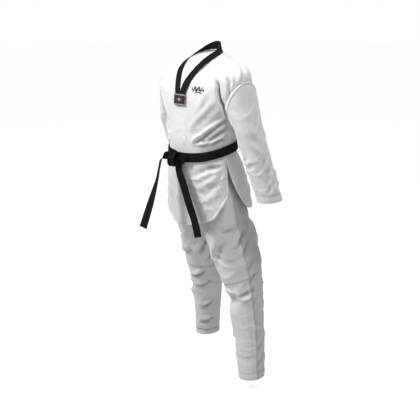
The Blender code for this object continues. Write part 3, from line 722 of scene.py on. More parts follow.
def jacket_body():
    """The body of the jacket from under the belt to the neckline, as a closed grid of points."""
    nodes = ("jacket_front_panel", "jacket_back_panel", "left_side_gusset", "right_side_gusset")
    tree = cad_tree(*nodes)
    angles = circle(BODY_COLUMNS)
    heights = np.linspace(1.052, DOME_Z, BODY_ROWS)
    tilts = np.interp(heights, (1.100, 1.190), (WAIST_TILT, 0.0))
    low = np.stack([waist_directions(angles, t) for t in tilts])
    low_centres = np.stack([0 * heights, 0 * heights, heights], axis=-1)[:, None, :]
    top = Vector((0.0, 0.0, DOME_Z))
    neckline = neckline_points(angles)
    rises = np.arctan2(neckline[:, 2] - DOME_Z, np.hypot(neckline[:, 0], neckline[:, 1]))
    shares = np.linspace(0.0, 1.0, DOME_ROWS + 1)[1:]
    rise = shares[:, None] * rises[None, :]
    high = np.stack([np.sin(angles) * np.cos(rise), -np.cos(angles) * np.cos(rise), np.sin(rise)], axis=-1)
    high_centres = np.tile(np.array(top), (DOME_ROWS, 1, 1))
    centres = np.concatenate([low_centres, high_centres])
    points = measure(tree, centres, np.concatenate([low, high]), True, 16)
    step = smooth((neckline - points[-1])[None], 4, True)[0]
    for i in range(20):
        points[-1 - i] += step * (1 - i / 20) ** 2
    points = add_folds(points, JACKET_FOLDS, lambda z: (0.0, 0.0))
    normals = normals_of(points, True)
    body = np.clip((points[:, :, 2] - 1.09) / 0.04, 0, 1)
    behind = 0.5 + 0.5 * np.clip(points[:, :, 1] / 0.05, -1, 1)
    lift = ripples(points, 0.060, 0.0022, 3.0, (1.0, 1.0, 0.55)) * (0.45 + 0.55 * behind)
    lift += ripples(points, 0.024, 0.0008, 9.0)
    side_on = np.clip(np.abs(points[:, :, 0]) / 0.12, 0.25, 1.0)
    lift += wrinkles(points, 0.110, 0.040, 0.0045, 13.0, 0.0) * side_on * bands(points[:, :, 2], (1.130, 0.040))
    lift += wrinkles(points, 0.090, 0.120, 0.0035, 17.0, 0.6) * side_on * (0.3 + 0.7 * behind)
    lift *= body * np.clip((len(points) - 1 - np.arange(len(points))[:, None]) / 16, 0, 1)
    return points + normals * lift[:, :, None]


def armhole_frame(side, word):
    """Centre, outward axis and upward direction of an armhole."""
    axis = Vector(JOINTS[f"{word}_shoulder_swing"]["axis"])
    axis = axis if axis.x * side > 0 else -axis
    return joint_point(f"{word}_shoulder_swing"), axis, Vector((-axis.z * side, 0.0, abs(axis.x)))


def armhole_ring(tree, side, word, count):
    """How far from its centre the armhole's edge is, where its plane meets the jacket body."""
    centre, _, up = armhole_frame(side, word)
    reach = []
    for b in circle(count):
        direction = Vector((0.0, -math.cos(b), 0.0)) + up * math.sin(b)
        usual = 1 / math.hypot(math.cos(b) / ARMHOLE_HALF_DEPTH, math.sin(b) / ARMHOLE_HALF_HEIGHT)
        found = reach_of(tree, centre, direction, usual * 1.3)
        reach.append(usual if math.isnan(found) else min(max(found, usual * 0.9), usual * 1.15))
    return smooth(np.array(reach)[None, :], 3, True)[0]


def body_seams(points):
    """Distances to the side seams below the arms."""
    x, y, z = (points[:, :, k] for k in range(3))
    angle = np.abs(np.arctan2(x, -y))
    radius = np.hypot(x, y)
    front = np.abs(angle - math.radians(74)) * radius
    back = np.abs(angle - math.radians(108)) * radius
    sides = np.hypot(np.minimum(front, back), 3 * np.maximum(z - 1.215, 0))
    return np.stack([sides, np.ones(sides.shape)], axis=-1)


def make_welt(side, word, ring):
    """The thick seam round an armhole."""
    _, axis, _ = armhole_frame(side, word)
    axis = np.array(axis)
    centre = ring.mean(axis=0)
    outward = ring - centre
    outward /= np.linalg.norm(outward, axis=1, keepdims=True)
    turns = np.linspace(0, math.pi, 7)
    rows = [ring + outward * (0.0034 * math.sin(t) - 0.0012) + axis * (0.0050 * math.cos(t) - 0.001) for t in turns]
    points = np.array(rows if side > 0 else rows[::-1])
    obj = place(f"{word}_armhole_welt", sheet(f"{word}_armhole_welt", points, True), JACKET_CLOTH, 0.001)
    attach(obj, "torso")


LINING_HALF_GAP = math.radians(52)  # the lining stops this far either side of the front


def make_glow_lining(points):
    """A sheet inside the jacket round the neck, with a painted glow for the light it would catch."""
    normals = normals_of(points, True)
    inside = points[-DOME_ROWS:-3] - normals[-DOME_ROWS:-3] * 0.0045
    turn = np.abs(np.arctan2(inside[:, :, 0], -inside[:, :, 1]))[:, ::-1]
    keep = (turn > LINING_HALF_GAP)[:-1]
    obj = place("neck_glow_lining", sheet("neck_glow_lining", inside[:, ::-1], True, keep), GLOW_LINING_CLOTH, 0.0008)
    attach(obj, "torso")


def make_jacket_body():
    points = jacket_body()
    make_glow_lining(points)
    mesh = sheet("jacket_body", points, closed=True, seams=body_seams(points))
    for side, word in SIDES:
        centre, axis, _ = armhole_frame(side, word)
        trim(mesh, centre, axis, lambda c, s=side: c.z > 1.18 and c.x * s > 0)
    body = place("jacket_body", mesh, JACKET_CLOTH)
    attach(body, "torso")
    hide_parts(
        "jacket_front_panel", "jacket_back_panel", "left_side_gusset", "right_side_gusset"
    )
    return grid_tree(points), points


# ------------------------------------------------------------------ sleeves
def slice_centre(tree, guess, z):
    """The middle of a tube at this height, from a point inside it."""
    total = Vector((0.0, 0.0, 0.0))
    count = 0
    for a in circle(24):
        direction = Vector((math.sin(a), -math.cos(a), 0.0))
        hit = tree.ray_cast(Vector((guess.x, guess.y, z)), direction, 0.3)
        if hit[0] is not None:
            total += hit[0]
            count += 1
    return Vector((guess.x, guess.y, z)) if count < 12 else Vector((total.x, total.y, z * count)) / count


def centre_line(tree, start, heights):
    """The middle of a tube at each height, followed from a start inside it."""
    centres, guess = [], start
    for z in heights:
        guess = slice_centre(tree, guess, z)
        guess = slice_centre(tree, guess, z)
        centres.append(guess)
    return centres


LEFT_SLEEVE_FOLDS = (
    (((88, 0.972), (94, 0.985), (104, 1.000)), 0.010, 0.0040, 0.8, 1),
    (((84, 1.010), (92, 1.030), (104, 1.045)), 0.011, 0.0037, 0.8, 1),
    (((70, 0.945), (84, 0.962), (96, 0.985)), 0.009, 0.0037, 0.9, 1),
    (((60, 0.905), (78, 0.925), (92, 0.958)), 0.009, 0.0037, 0.9, 1),
    (((95, 0.915), (110, 0.935), (130, 0.945)), 0.012, 0.0031, 0.7, 1),
    (((60, 1.180), (80, 1.150), (96, 1.110)), 0.013, 0.0028, 0.7, -1),
    (((40, 1.120), (66, 1.085), (88, 1.060)), 0.012, 0.0031, 0.7, -1),
    (((-60, 1.050), (-20, 1.030), (20, 1.045)), 0.010, 0.0043, 0.8, 1),
    (((-60, 1.010), (-25, 1.000), (30, 1.015)), 0.010, 0.0037, 0.8, 1),
    (((-90, 1.110), (-110, 1.080), (-140, 1.060)), 0.013, 0.0037, 0.7, 1),
    (((140, 1.200), (165, 1.140), (-170, 1.080)), 0.014, 0.0037, 0.7, 1),
    (((120, 1.010), (150, 0.990), (180, 1.000)), 0.012, 0.0037, 0.8, 1),
    (((130, 0.960), (160, 0.940), (-160, 0.950)), 0.012, 0.0031, 0.8, -1),
)




def sleeve_grid(side, word, body_tree):
    tree = cad_tree(f"{word}_sleeve_upper", f"{word}_sleeve_lower", f"{word}_cuff_hem")
    low, high = node_box(f"{word}_cuff_hem")
    cuff_z = low.z
    top_z = 1.160
    count = 128
    heights = np.arange(cuff_z + EDGE_CLEAR, top_z, 0.005)
    centres = centre_line(tree, (low + high) / 2, heights)
    armhole, _, up = armhole_frame(side, word)
    out = Vector((side, 0.0, 0.0))
    b = circle(count)
    rings, middles = [], []
    for centre in centres:
        rings.append(np.stack([side * np.sin(b), -np.cos(b), 0 * b], axis=-1))
        middles.append(np.array(centre))
    fan = 27
    for i in range(1, fan + 1):
        t = i / fan
        across = out.lerp(up, t).normalized()
        rings.append(np.outer(np.sin(b), np.array(across)) + np.outer(-np.cos(b), (0, 1, 0)))
        middles.append(np.array(centres[-1].lerp(armhole, t)))
    directions, middles = np.array(rings), np.array(middles)[:, None, :]
    points = measure(tree, middles, directions, True, 8)
    top = middles[-1] + directions[-1] * armhole_ring(body_tree, side, word, count)[:, None]
    step = points[-1] - top
    for i in range(fan):
        points[-1 - i] -= step * (1 - i / fan) ** 2
    points = points if side > 0 else points[:, ::-1]
    points = with_foot(points, cuff_z)
    line = {round(float(z), 4): c for z, c in zip(heights, centres)}

    def centre_at(z):
        nearest = min(line, key=lambda h: abs(h - z))
        return (line[nearest].x, line[nearest].y)

    folds = LEFT_SLEEVE_FOLDS if side > 0 else [
        ([(-a, z) for a, z in path], w, h, hollow, -flip) for path, w, h, hollow, flip in LEFT_SLEEVE_FOLDS
    ]
    points = add_folds(points, folds, centre_at)
    normals = normals_of(points, True)
    lift = ripples(points, 0.050, 0.0020, 5.0 + side, (1.0, 1.0, 0.8))
    lift += ripples(points, 0.022, 0.0007, 15.0 + side)
    z = points[:, :, 2]
    lift += wrinkles(points, 0.120, 0.045, 0.0024, 23.0 + side, 0.6 * side) * bands(z, (0.975, 0.060), (1.210, 0.040))
    lift += wrinkles(points, 0.150, 0.080, 0.0040, 27.0 + side, 1.2 * side) * 0.7
    height = points[:, :, 2] - cuff_z
    lift *= np.clip(height / 0.05, 0.15, 1)
    rows = np.arange(len(points))[:, None]
    lift *= np.clip((len(points) - 1 - rows) / 6, 0, 1)
    lift += hem_relief(height, CUFF_BAND, normals.shape[:2])
    return points + normals * lift[:, :, None]


def with_foot(points, z):
    """Brings the lowest row of a tube down to its hem."""
    foot = points[:1].copy()
    foot[:, :, 2] = z + 0.0004
    return np.concatenate([foot, points])


def hem_relief(height, band, shape):
    """A turned-up hem: a slightly thicker band, and the line where it is stitched down."""
    lift = 0.0009 * (1 - 1 / (1 + np.exp(-(height - band) / 0.0012)))
    lift = lift - 0.0010 * np.exp(-(((height - band + 0.0015) / 0.0016) ** 2))
    return lift * np.ones(shape)


def tube_seams(points, across, seam_angle, half_stripe):
    """Distances to a lengthwise seam at an angle from the front, or to the edges of a stripe round it."""
    centre = points.mean(axis=1, keepdims=True)
    offset = points - centre
    angle = np.arctan2(offset[:, :, 0], -offset[:, :, 1]) - math.radians(seam_angle)
    angle = np.abs((angle + math.pi) % (2 * math.pi) - math.pi)
    radius = np.hypot(offset[:, :, 0], offset[:, :, 1])
    along = (angle - math.radians(half_stripe)) * radius
    return np.stack([along, across * np.ones(points.shape[:2])], axis=-1)


def tucked(rows, row, sign):
    """One more row past a joint between two pieces, set back a little so that it stays hidden."""
    normals = normals_of(rows, True)
    return rows[row] - normals[row] * 0.0003 * sign


SLEEVE_ALLOWANCE = 0.016  # how far each sleeve reaches into the jacket body


def make_sleeve(side, word, body_tree):
    points = sleeve_grid(side, word, body_tree)
    ring = points[-1]
    shoulder, axis, _ = armhole_frame(side, word)
    # The sleeve runs on into the body of the jacket, so that no gap shows behind the seam.
    points = np.concatenate([points, ring[None] - np.array(axis) * SLEEVE_ALLOWANCE])
    elbow = joint_point(f"{word}_elbow_bend")
    split = int(np.argmin(np.abs(points[:, 0, 2] - (elbow.z + 0.075))))
    upper = points[split - 1:].copy()
    upper[0] = tucked(points, split - 1, 1)
    lower = points[:split + 2].copy()
    lower[-1] = tucked(points, split + 1, 1)
    seams = tube_seams(points, points[:, :, 2] - points[0, :, 2].min() - CUFF_BAND, -90 * side, 0)
    name = f"{word}_sleeve_upper_cloth"
    obj = place(name, sheet(name, upper, True, None, seams[split - 1:]), JACKET_CLOTH)
    bridge(obj)
    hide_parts(f"{word}_sleeve_upper")
    name = f"{word}_sleeve_lower_cloth"
    obj = place(name, sheet(name, lower, True, None, seams[:split + 2]), JACKET_CLOTH)
    bridge(
        obj,
    )
    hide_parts(f"{word}_sleeve_lower", f"{word}_cuff_hem")
    make_welt(side, word, ring)


# ------------------------------------------------------------------ jacket skirts
def front_vent_angle(z):
    share = np.clip((z - VENT_CORNER_Z) / (VENT_TOP_Z - VENT_CORNER_Z), 0, 1)
    return VENT_CORNER_ANGLE + (SIDE_HALF_TURN - VENT_CORNER_ANGLE) * share


def front_hem(share):
    """Hem height round the front flap: a gentle rise, then the cut-off corner."""
    share = abs(share)
    if share <= FRONT_CORNER_SHARE:
        return FRONT_HEM_Z + FRONT_HEM_RISE * (share / FRONT_CORNER_SHARE) ** 2
    run = (share - FRONT_CORNER_SHARE) / (1 - FRONT_CORNER_SHARE)
    low = FRONT_HEM_Z + FRONT_HEM_RISE
    return low + (VENT_CORNER_Z - low) * run


def back_vent_angle(_):
    return math.pi - SIDE_HALF_TURN


def back_hem(share):
    """Hem height round the back flap: level, then a rounded corner up to the vent."""
    run = max(abs(share) - BACK_CURVE_SHARE, 0.0) / (1 - BACK_CURVE_SHARE)
    return BACK_HEM_Z + (VENT_TOP_Z - BACK_HEM_Z) * run**BACK_CURVE_POWER


FRONT_SKIRT_FOLDS = (
    (((30, 0.951), (51, 0.978), (71, 0.997)), 0.013, 0.0065, 0.8, 1),
    (((34, 0.915), (54, 0.950), (69, 0.985)), 0.014, 0.0050, 0.7, 1),
    (((50, 1.030), (62, 1.020), (74, 1.022)), 0.008, 0.0045, 0.7, 1),
    (((72, 1.035), (73, 0.985), (70, 0.930)), 0.010, 0.0045, 0.6, 1),
    (((38, 0.860), (56, 0.885), (68, 0.925)), 0.016, 0.0035, 0.6, 1),
    (((-30, 0.990), (-33, 0.900), (-36, 0.810)), 0.014, 0.0050, 0.7, -1),
    (((-62, 1.030), (-60, 0.960), (-58, 0.890)), 0.016, 0.0060, 0.7, -1),
    (((4, 0.990), (6, 0.920), (3, 0.840)), 0.020, 0.0030, 0.6, 1),
)
BACK_SKIRT_FOLDS = (
    (((104, 1.040), (108, 0.990), (112, 0.930)), 0.012, 0.0070, 0.8, 1),
    (((124, 1.060), (130, 0.980), (134, 0.860)), 0.020, 0.0080, 0.8, 1),
    (((152, 1.070), (157, 0.960), (160, 0.800)), 0.022, 0.0080, 0.8, 1),
    (((-124, 1.060), (-130, 0.980), (-134, 0.860)), 0.020, 0.0080, 0.8, -1),
    (((-152, 1.070), (-157, 0.960), (-160, 0.800)), 0.022, 0.0080, 0.8, -1),
    (((-104, 1.040), (-108, 0.990), (-112, 0.930)), 0.012, 0.0070, 0.8, -1),
)


def skirt_grid(word, middle, vent_angle, hem, folds):
    """A flap from under the belt to its hem, between two vents."""
    tree = cad_tree(f"jacket_{word}_skirt")
    columns, rows = 161, 56
    shares = np.linspace(-1, 1, columns)
    depths = np.linspace(0, 1, rows)
    top = SKIRT_TOP_Z + 0.010
    z = np.array([[hem(s) + (top - hem(s)) * d for s in shares] for d in depths])
    angle = middle + shares[None, :] * np.array([[vent_angle(v) for v in row] for row in z])
    centres = np.stack([0 * z, 0 * z, z], axis=-1)
    points = measure(tree, centres, waist_directions(angle, WAIST_TILT), False, 8)
    open_tree = BVHTree.FromPolygons(
        [Vector(p) for p in points.reshape(-1, 3)],
        [
            (i * columns + j, i * columns + j + 1, (i + 1) * columns + j + 1, (i + 1) * columns + j)
            for i in range(rows - 1) for j in range(columns - 1)
        ],
    )
    normals = normals_of(points, False)
    lift = np.zeros(points.shape[:2])
    for path, width, height, *rest in folds:
        spots = [on_surface(open_tree, (0.0, 0.0), math.radians(a), h) for a, h in path]
        lift += fold(points, normals, curve_through(spots), width, height, *rest)
    lift += ripples(points, 0.050, 0.0020, 21.0 + middle, (1.0, 1.0, 0.6))
    lift += ripples(points, 0.024, 0.0007, 31.0 + middle)
    lift += wrinkles(points, 0.110, 0.060, 0.0034, 35.0 + middle, 0.5) * bands(z, (1.000, 0.060), (0.880, 0.080))
    lift *= np.clip((z.max() - z) / 0.035, 0, 1)
    points = points + normals * lift[:, :, None]
    return points


def make_skirt(word, middle, vent_angle, hem, folds):
    points = skirt_grid(word, middle, vent_angle, hem, folds)
    pivot = joint_point(f"{word}_skirt_swing")
    name = f"{word}_skirt_cloth"
    obj = place(name, sheet(name, points, seams=edge_seams(points)), JACKET_CLOTH)
    bridge(obj)
    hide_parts(f"jacket_{word}_skirt")
    # The facing: a turned strip along both vents and round the corners, on the outside of the edge.
    edge = facing_grid(points)
    name = f"{word}_skirt_facing"
    obj = place(name, sheet(name, edge), FACING_CLOTH, thickness=0.0008)
    bridge(obj)
    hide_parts(f"{word}_vent_facing_left", f"{word}_vent_facing_right")
    return points


HEM_TAG_CENTRE = -30  # in columns from the middle of the flap
HEM_TAG_COLUMNS = 9  # either side of its own middle
HEM_TAG_DROP = 0.024


def make_hem_tag(points):
    """A plain white tag that shows under the middle of the front hem."""
    middle = points.shape[1] // 2 + HEM_TAG_CENTRE
    top = points[2, middle - HEM_TAG_COLUMNS:middle + HEM_TAG_COLUMNS + 1] + np.array([0, 0.004, 0])
    drops = np.linspace(HEM_TAG_DROP, 0, 6)[:, None]
    tag = top[None] - np.array([0, 0, 1.0]) * drops[:, :, None]
    obj = place("hem_tag", sheet("hem_tag", tag), FACING_CLOTH, thickness=0.0008)
    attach(obj, "front_skirt")


def edge_seams(points):
    """Distances to the row of stitches that runs beside the vents and the hem."""
    across = np.cumsum(np.linalg.norm(np.diff(points, axis=1, prepend=points[:, :1]), axis=2), axis=1)
    sides = np.minimum(across, across[:, -1:] - across)
    up = np.cumsum(np.linalg.norm(np.diff(points, axis=0, prepend=points[:1]), axis=2), axis=0)
    along = np.abs(np.minimum(sides, up) - FACING_WIDTH - 0.002) + STITCH_OFFSET
    return np.stack([along, np.ones(along.shape)], axis=-1)


FACING_CLOTH = cloth_material("white_facing_cloth", (0.94, 0.94, 0.94, 1.0), 0.0026, 0.0003)
FACING_WIDTH = 0.016


def facing_grid(points):
    """A strip that follows the flap's side and lower edges, folded over them."""
    left_side = points[::-1, 0]
    hem_line = points[0]
    right_side = points[:, -1]
    outline = np.concatenate([left_side[:-1], hem_line[:-1], right_side])
    normals = normals_of(points, False)
    outward = np.concatenate([normals[::-1, 0][:-1], normals[0][:-1], normals[:, -1]])
    step = np.gradient(outline, axis=0)
    step /= np.maximum(np.linalg.norm(step, axis=1, keepdims=True), 1e-9)
    inward = np.cross(outward, step)
    for _ in range(6):
        inward = (inward * 2 + np.roll(inward, 1, axis=0) + np.roll(inward, -1, axis=0)) / 4
    inward /= np.linalg.norm(inward, axis=1, keepdims=True)
    corner = np.abs(inward[:, 2]) * np.hypot(inward[:, 0], inward[:, 1])
    width = (0.0035 + (FACING_WIDTH - 0.0035) * np.clip(corner * 2.4 - 0.5, 0, 1))[:, None]
    rows = []
    for share, lift in ((0.0, -0.0018), (-0.0006, 0.0004), (0.15, 0.0009), (0.6, 0.0010), (1.0, 0.0004)):
        rows.append(outline + inward * width * share + outward * lift)
    return np.array(rows)


# ------------------------------------------------------------------ trousers
def seat_and_leg_centre(leg_centre, side, z):
    """Where the rays start, above the crotch: it moves towards the middle of half a waist."""
    share = min(max((z - CROTCH_Z) / 0.25, 0.0), 1.0)
    return leg_centre.lerp(Vector((0.070 * side, 0.010, z)), share)


LEFT_LEG_FOLDS = (
    # The cloth breaks over the knee and falls in below it.
    (((-80, 0.405), (-40, 0.400), (0, 0.412), (30, 0.425)), 0.030, -0.0130, -0.45, 1),
    (((-50, 0.455), (-10, 0.452), (40, 0.460)), 0.014, 0.0060, 0.4, 1),
    (((84, 0.735), (66, 0.700), (50, 0.650)), 0.015, 0.0075, 0.9, 1),
    (((96, 0.690), (80, 0.660), (62, 0.615)), 0.013, 0.0060, 0.8, 1),
    (((104, 0.610), (84, 0.582), (60, 0.560)), 0.016, 0.0039, 0.9, 1),
    (((100, 0.545), (84, 0.520), (60, 0.505)), 0.012, 0.0033, 0.8, 1),
    (((104, 0.470), (94, 0.440), (82, 0.405)), 0.012, 0.0050, 0.9, -1),
    (((80, 0.455), (60, 0.430), (30, 0.420)), 0.012, 0.0080, 0.8, -1),
    (((104, 0.420), (95, 0.385), (86, 0.345)), 0.014, 0.0033, 0.8, -1),
    (((108, 0.240), (95, 0.220), (70, 0.205)), 0.013, 0.0036, 0.9, 1),
    (((104, 0.172), (93, 0.150), (70, 0.128)), 0.012, 0.0036, 0.9, 1),
    (((60, 0.310), (85, 0.280), (100, 0.290)), 0.014, 0.0045, 0.7, 1),
    (((20, 0.700), (0, 0.640), (-20, 0.560)), 0.018, 0.0070, 0.8, 1),
    (((-60, 0.700), (-50, 0.640), (-30, 0.560)), 0.014, 0.0080, 0.8, 1),
    (((150, 0.720), (170, 0.640), (-160, 0.580)), 0.020, 0.0050, 0.8, 1),
    (((130, 0.690), (150, 0.600), (175, 0.520)), 0.018, 0.0044, 0.8, 1),
    (((150, 0.480), (175, 0.455), (-150, 0.470)), 0.014, 0.0044, 0.8, 1),
    (((150, 0.430), (178, 0.410), (-155, 0.430)), 0.014, 0.0039, 0.8, 1),
    (((140, 0.260), (170, 0.230), (-160, 0.220)), 0.015, 0.0033, 0.8, 1),
    (((150, 0.150), (180, 0.130), (-150, 0.140)), 0.013, 0.0033, 0.8, 1),
    (((-30, 0.160), (-70, 0.140), (-110, 0.150)), 0.013, 0.0060, 0.8, 1),
    (((-20, 0.260), (-60, 0.230), (-100, 0.250)), 0.014, 0.0060, 0.8, 1),
)
RIGHT_LEG_FOLDS = (
    (((60, 0.690), (40, 0.620), (20, 0.560)), 0.016, 0.0085, 0.9, 1),
    (((84, 0.660), (64, 0.590), (44, 0.520)), 0.014, 0.0090, 0.9, 1),
    (((100, 0.640), (84, 0.560), (62, 0.480)), 0.013, 0.0047, 0.9, 1),
    (((10, 0.600), (-10, 0.575), (-40, 0.560)), 0.014, 0.0060, 0.8, 1),
    (((-60, 0.700), (-40, 0.640), (-10, 0.610)), 0.016, 0.0060, 0.8, 1),
    (((40, 0.470), (20, 0.445), (-10, 0.430)), 0.013, 0.0075, 0.9, 1),
    (((60, 0.420), (36, 0.390), (0, 0.375)), 0.013, 0.0065, 0.9, 1),
    (((70, 0.290), (45, 0.265), (10, 0.250)), 0.013, 0.0065, 0.9, 1),
    (((70, 0.190), (45, 0.172), (10, 0.165)), 0.012, 0.0065, 0.9, 1),
    (((-50, 0.300), (-20, 0.330), (10, 0.350)), 0.016, 0.0045, 0.8, 1),
    (((-150, 0.720), (-170, 0.640), (160, 0.580)), 0.020, 0.0050, 0.8, -1),
    (((-130, 0.690), (-150, 0.600), (-175, 0.520)), 0.018, 0.0044, 0.8, -1),
    (((-150, 0.480), (-175, 0.455), (150, 0.470)), 0.014, 0.0044, 0.8, -1),
    (((-150, 0.420), (-178, 0.400), (155, 0.420)), 0.014, 0.0039, 0.8, -1),
    (((-140, 0.260), (-170, 0.230), (160, 0.220)), 0.015, 0.0033, 0.8, -1),
    (((-100, 0.180), (-130, 0.150), (-170, 0.160)), 0.013, 0.0033, 0.8, -1),
)




def leg_grid(side, word, folds):
    """One half of the trousers: a tube for the leg, and half of the seat above the crotch."""
    panels = [f"{word}_{part}_{panel}" for part in ("thigh", "shin") for panel in ("front", "back", "stripe")]
    leg_tree = cad_tree(*panels, f"{word}_leg_hem")
    seat_tree = cad_tree("trouser_seat_front", "trouser_seat_back")
    low, high = node_box(f"{word}_leg_hem")
    count, step = 160, 0.0055
    heights = np.arange(low.z + EDGE_CLEAR, WAISTBAND_Z, step)
    centres = centre_line(leg_tree, (low + high) / 2, [z for z in heights if z < CROTCH_Z - 0.004])
    for z in heights[len(centres):]:
        centres.append(Vector((centres[-1].x, centres[-1].y, z)))
    rays = [seat_and_leg_centre(c, side, z) if z > CROTCH_Z else c for c, z in zip(centres, heights)]
    b = circle(count)
    direction = np.stack([side * np.sin(b), -np.cos(b), 0 * b], axis=-1)
    reach = np.empty((len(heights), count))
    for i, (centre, z) in enumerate(zip(rays, heights)):
        for j in range(count):
            d = Vector(direction[j])
            if z < CROTCH_Z - 0.002:
                reach[i, j] = reach_of(leg_tree, centre, d, 0.25)
                continue
            found = reach_of(seat_tree, centre, d, 0.4)
            towards_middle = -d.x * side
            wall = abs(centre.x) / towards_middle if towards_middle > 1e-3 else math.inf
            if math.isnan(found):
                reach[i, j] = wall if wall < 0.15 else math.nan
            else:
                reach[i, j] = min(found, wall)
    reach = smooth(fill(reach, True), 8, True)
    middle = np.array([list(c) for c in rays])[:, None, :]
    points = middle + direction[None] * reach[:, :, None]
    points = points if side > 0 else points[:, ::-1]
    points = with_foot(points, low.z)

    def centre_at(z):
        k = int(np.argmin(np.abs(heights - z)))
        return (rays[k].x, rays[k].y)

    points = add_folds(points, folds, centre_at)
    normals = normals_of(points, True)
    height = points[:, :, 2] - low.z
    lift = ripples(points, 0.060, 0.0014, 41.0 + side, (1.0, 1.0, 0.7))
    z = points[:, :, 2]
    lift += wrinkles(points, 0.150, 0.050, 0.0034, 61.0 + side, 0.6 * side) * bands(
        z, (0.700, 0.070), (0.420, 0.085), (0.130, 0.075)
    )
    lift += wrinkles(points, 0.180, 0.070, 0.0045, 71.0 + side, 0.9 * side) * (0.4 + 0.6 * bands(z, (0.56, 0.14)))
    lift += wrinkles(points, 0.090, 0.022, 0.0008, 81.0 + side, 0.4 * side)
    lift *= np.clip(height / 0.06, 0.12, 1)
    lift += hem_relief(height, LEG_HEM_BAND, lift.shape)
    points = points + normals * lift[:, :, None]
    above = points[:, :, 2] > CROTCH_Z - 0.010
    near = np.where(above, 0.0006, 0.0025) * side
    points[:, :, 0] = np.where(points[:, :, 0] * side < near * side, near, points[:, :, 0])
    return points


def make_leg(side, word, folds):
    points = leg_grid(side, word, folds)
    flat = (points[:, :, 0] * side < 0.0012) & (points[:, :, 2] > CROTCH_Z + 0.014)
    after = np.roll(flat, -1, axis=1)
    inside_wall = flat[:-1] & flat[1:] & after[:-1] & after[1:]
    split = int(np.argmin(np.abs(points[:, 0, 2] - 0.60)))
    upper = points[split - 1:].copy()
    upper[0] = tucked(points, split - 1, 1)
    lower = points[:split + 2].copy()
    lower[-1] = tucked(points, split + 1, 1)
    height = points[:, :, 2] - points[0, :, 2].min()
    centre = points.mean(axis=1, keepdims=True)
    outwards = (points[:, :, 0] - centre[:, :, 0]) * side
    backwards = points[:, :, 1] - centre[:, :, 1]
    knee = points[:, :, 2] - (KNEE_SEAM_Z + 0.20 * outwards + 0.16 * backwards)
    hem = height - LEG_HEM_BAND
    across = np.where(np.abs(knee) < np.abs(hem), knee, hem)
    seams = tube_seams(points, across, STRIPE_ANGLE * side, STRIPE_HALF_ANGLE)
    name = f"{word}_trouser_upper"
    mesh = sheet(name, upper, True, ~inside_wall[split - 1:], seams[split - 1:])
    obj = place(name, mesh, TROUSER_CLOTH)
    bridge(obj)
    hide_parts(f"{word}_thigh_front", f"{word}_thigh_back", f"{word}_thigh_stripe")
    if side > 0:
        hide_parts("trouser_seat_front", "trouser_seat_back", "crotch_gusset")
    name = f"{word}_trouser_lower"
    obj = place(name, sheet(name, lower, True, None, seams[:split + 2]), TROUSER_CLOTH)
    bridge(obj)
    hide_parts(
        f"{word}_shin_front", f"{word}_shin_back", f"{word}_shin_stripe", f"{word}_leg_hem"
    )
    return points


def make_waistband():
    """Elastic gathers the cloth into narrow ribs."""
    tree = cad_tree("trouser_waistband")
    low, high = node_box("trouser_waistband")
    angles = circle(288)
    heights = np.linspace(low.z + 0.0005, high.z - 0.0005, 12)
    directions = np.tile(waist_directions(angles, 0.0), (12, 1, 1))
    centres = np.stack([np.zeros(12), np.zeros(12), heights], axis=-1)[:, None, :]
    points = measure(tree, centres, directions, True, 6)
    ribs = 0.0012 * np.sin(angles * 96) * np.sin(np.linspace(0.15, math.pi - 0.15, 12))[:, None]
    points = points + normals_of(points, True) * ribs[:, :, None]
    obj = place("elastic_waistband", sheet("elastic_waistband", points, True), TROUSER_CLOTH, 0.003)
    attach(obj, "torso")
    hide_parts("trouser_waistband")


# ------------------------------------------------------------------ belt
def make_belt_turn(node, name, drop):
    """One turn of the belt, a little uneven, as a tied belt is."""
    tree = cad_tree(node)
    angles = circle(240)
    rows = np.linspace(-BELT_HALF, BELT_HALF, 9)
    wobble = 0.0012 * np.sin(angles * 2 + drop * 900) + 0.0007 * np.sin(angles * 5 + 1)
    height = BELT_Z + rows[:, None] * 0.985 + wobble[None, :] * 0
    directions = np.tile(waist_directions(angles, WAIST_TILT), (9, 1, 1))
    centres = np.stack([0 * height, 0 * height, height * np.ones((9, 240))], axis=-1)
    points = measure(tree, centres, directions, True, 3)
    points[:, :, 2] += wobble + drop
    crown = 0.0006 * (1 - (rows / BELT_HALF) ** 2)
    points = points + normals_of(points, True) * crown[:, None, None]
    obj = place(name, sheet(name, points, True), BELT_COTTON, BELT_THICKNESS, 0.0006)
    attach(obj, "torso")
    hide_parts(node)
    return points


def ribbon(name, path, across, widths, thickness=BELT_THICKNESS, steps=10, columns=9, crown=0.0006):
    """A strip of belt along a path, as wide as it is told to be and turned to face where it should."""
    line = curve_through(path, steps)
    count = len(line)
    at = np.linspace(0, 1, len(path))
    t = np.linspace(0, 1, count)
    across = np.array([Vector(a).normalized() for a in across])
    side = np.stack([np.interp(t, at, across[:, k]) for k in range(3)], axis=-1)
    tangent = np.gradient(line, axis=0)
    tangent /= np.linalg.norm(tangent, axis=1, keepdims=True)
    side -= tangent * np.sum(side * tangent, axis=1, keepdims=True)
    side /= np.linalg.norm(side, axis=1, keepdims=True)
    width = np.interp(t, at, widths)
    normal = np.cross(side, tangent)
    shares = np.linspace(-0.5, 0.5, columns)
    points = np.empty((columns, count, 3))
    for i, share in enumerate(shares):
        lift = crown * (1 - (2 * share) ** 2)
        points[i] = line + side * (width * share)[:, None] + normal * lift
    return place(name, sheet(name, points), BELT_COTTON, thickness, 0.0006)


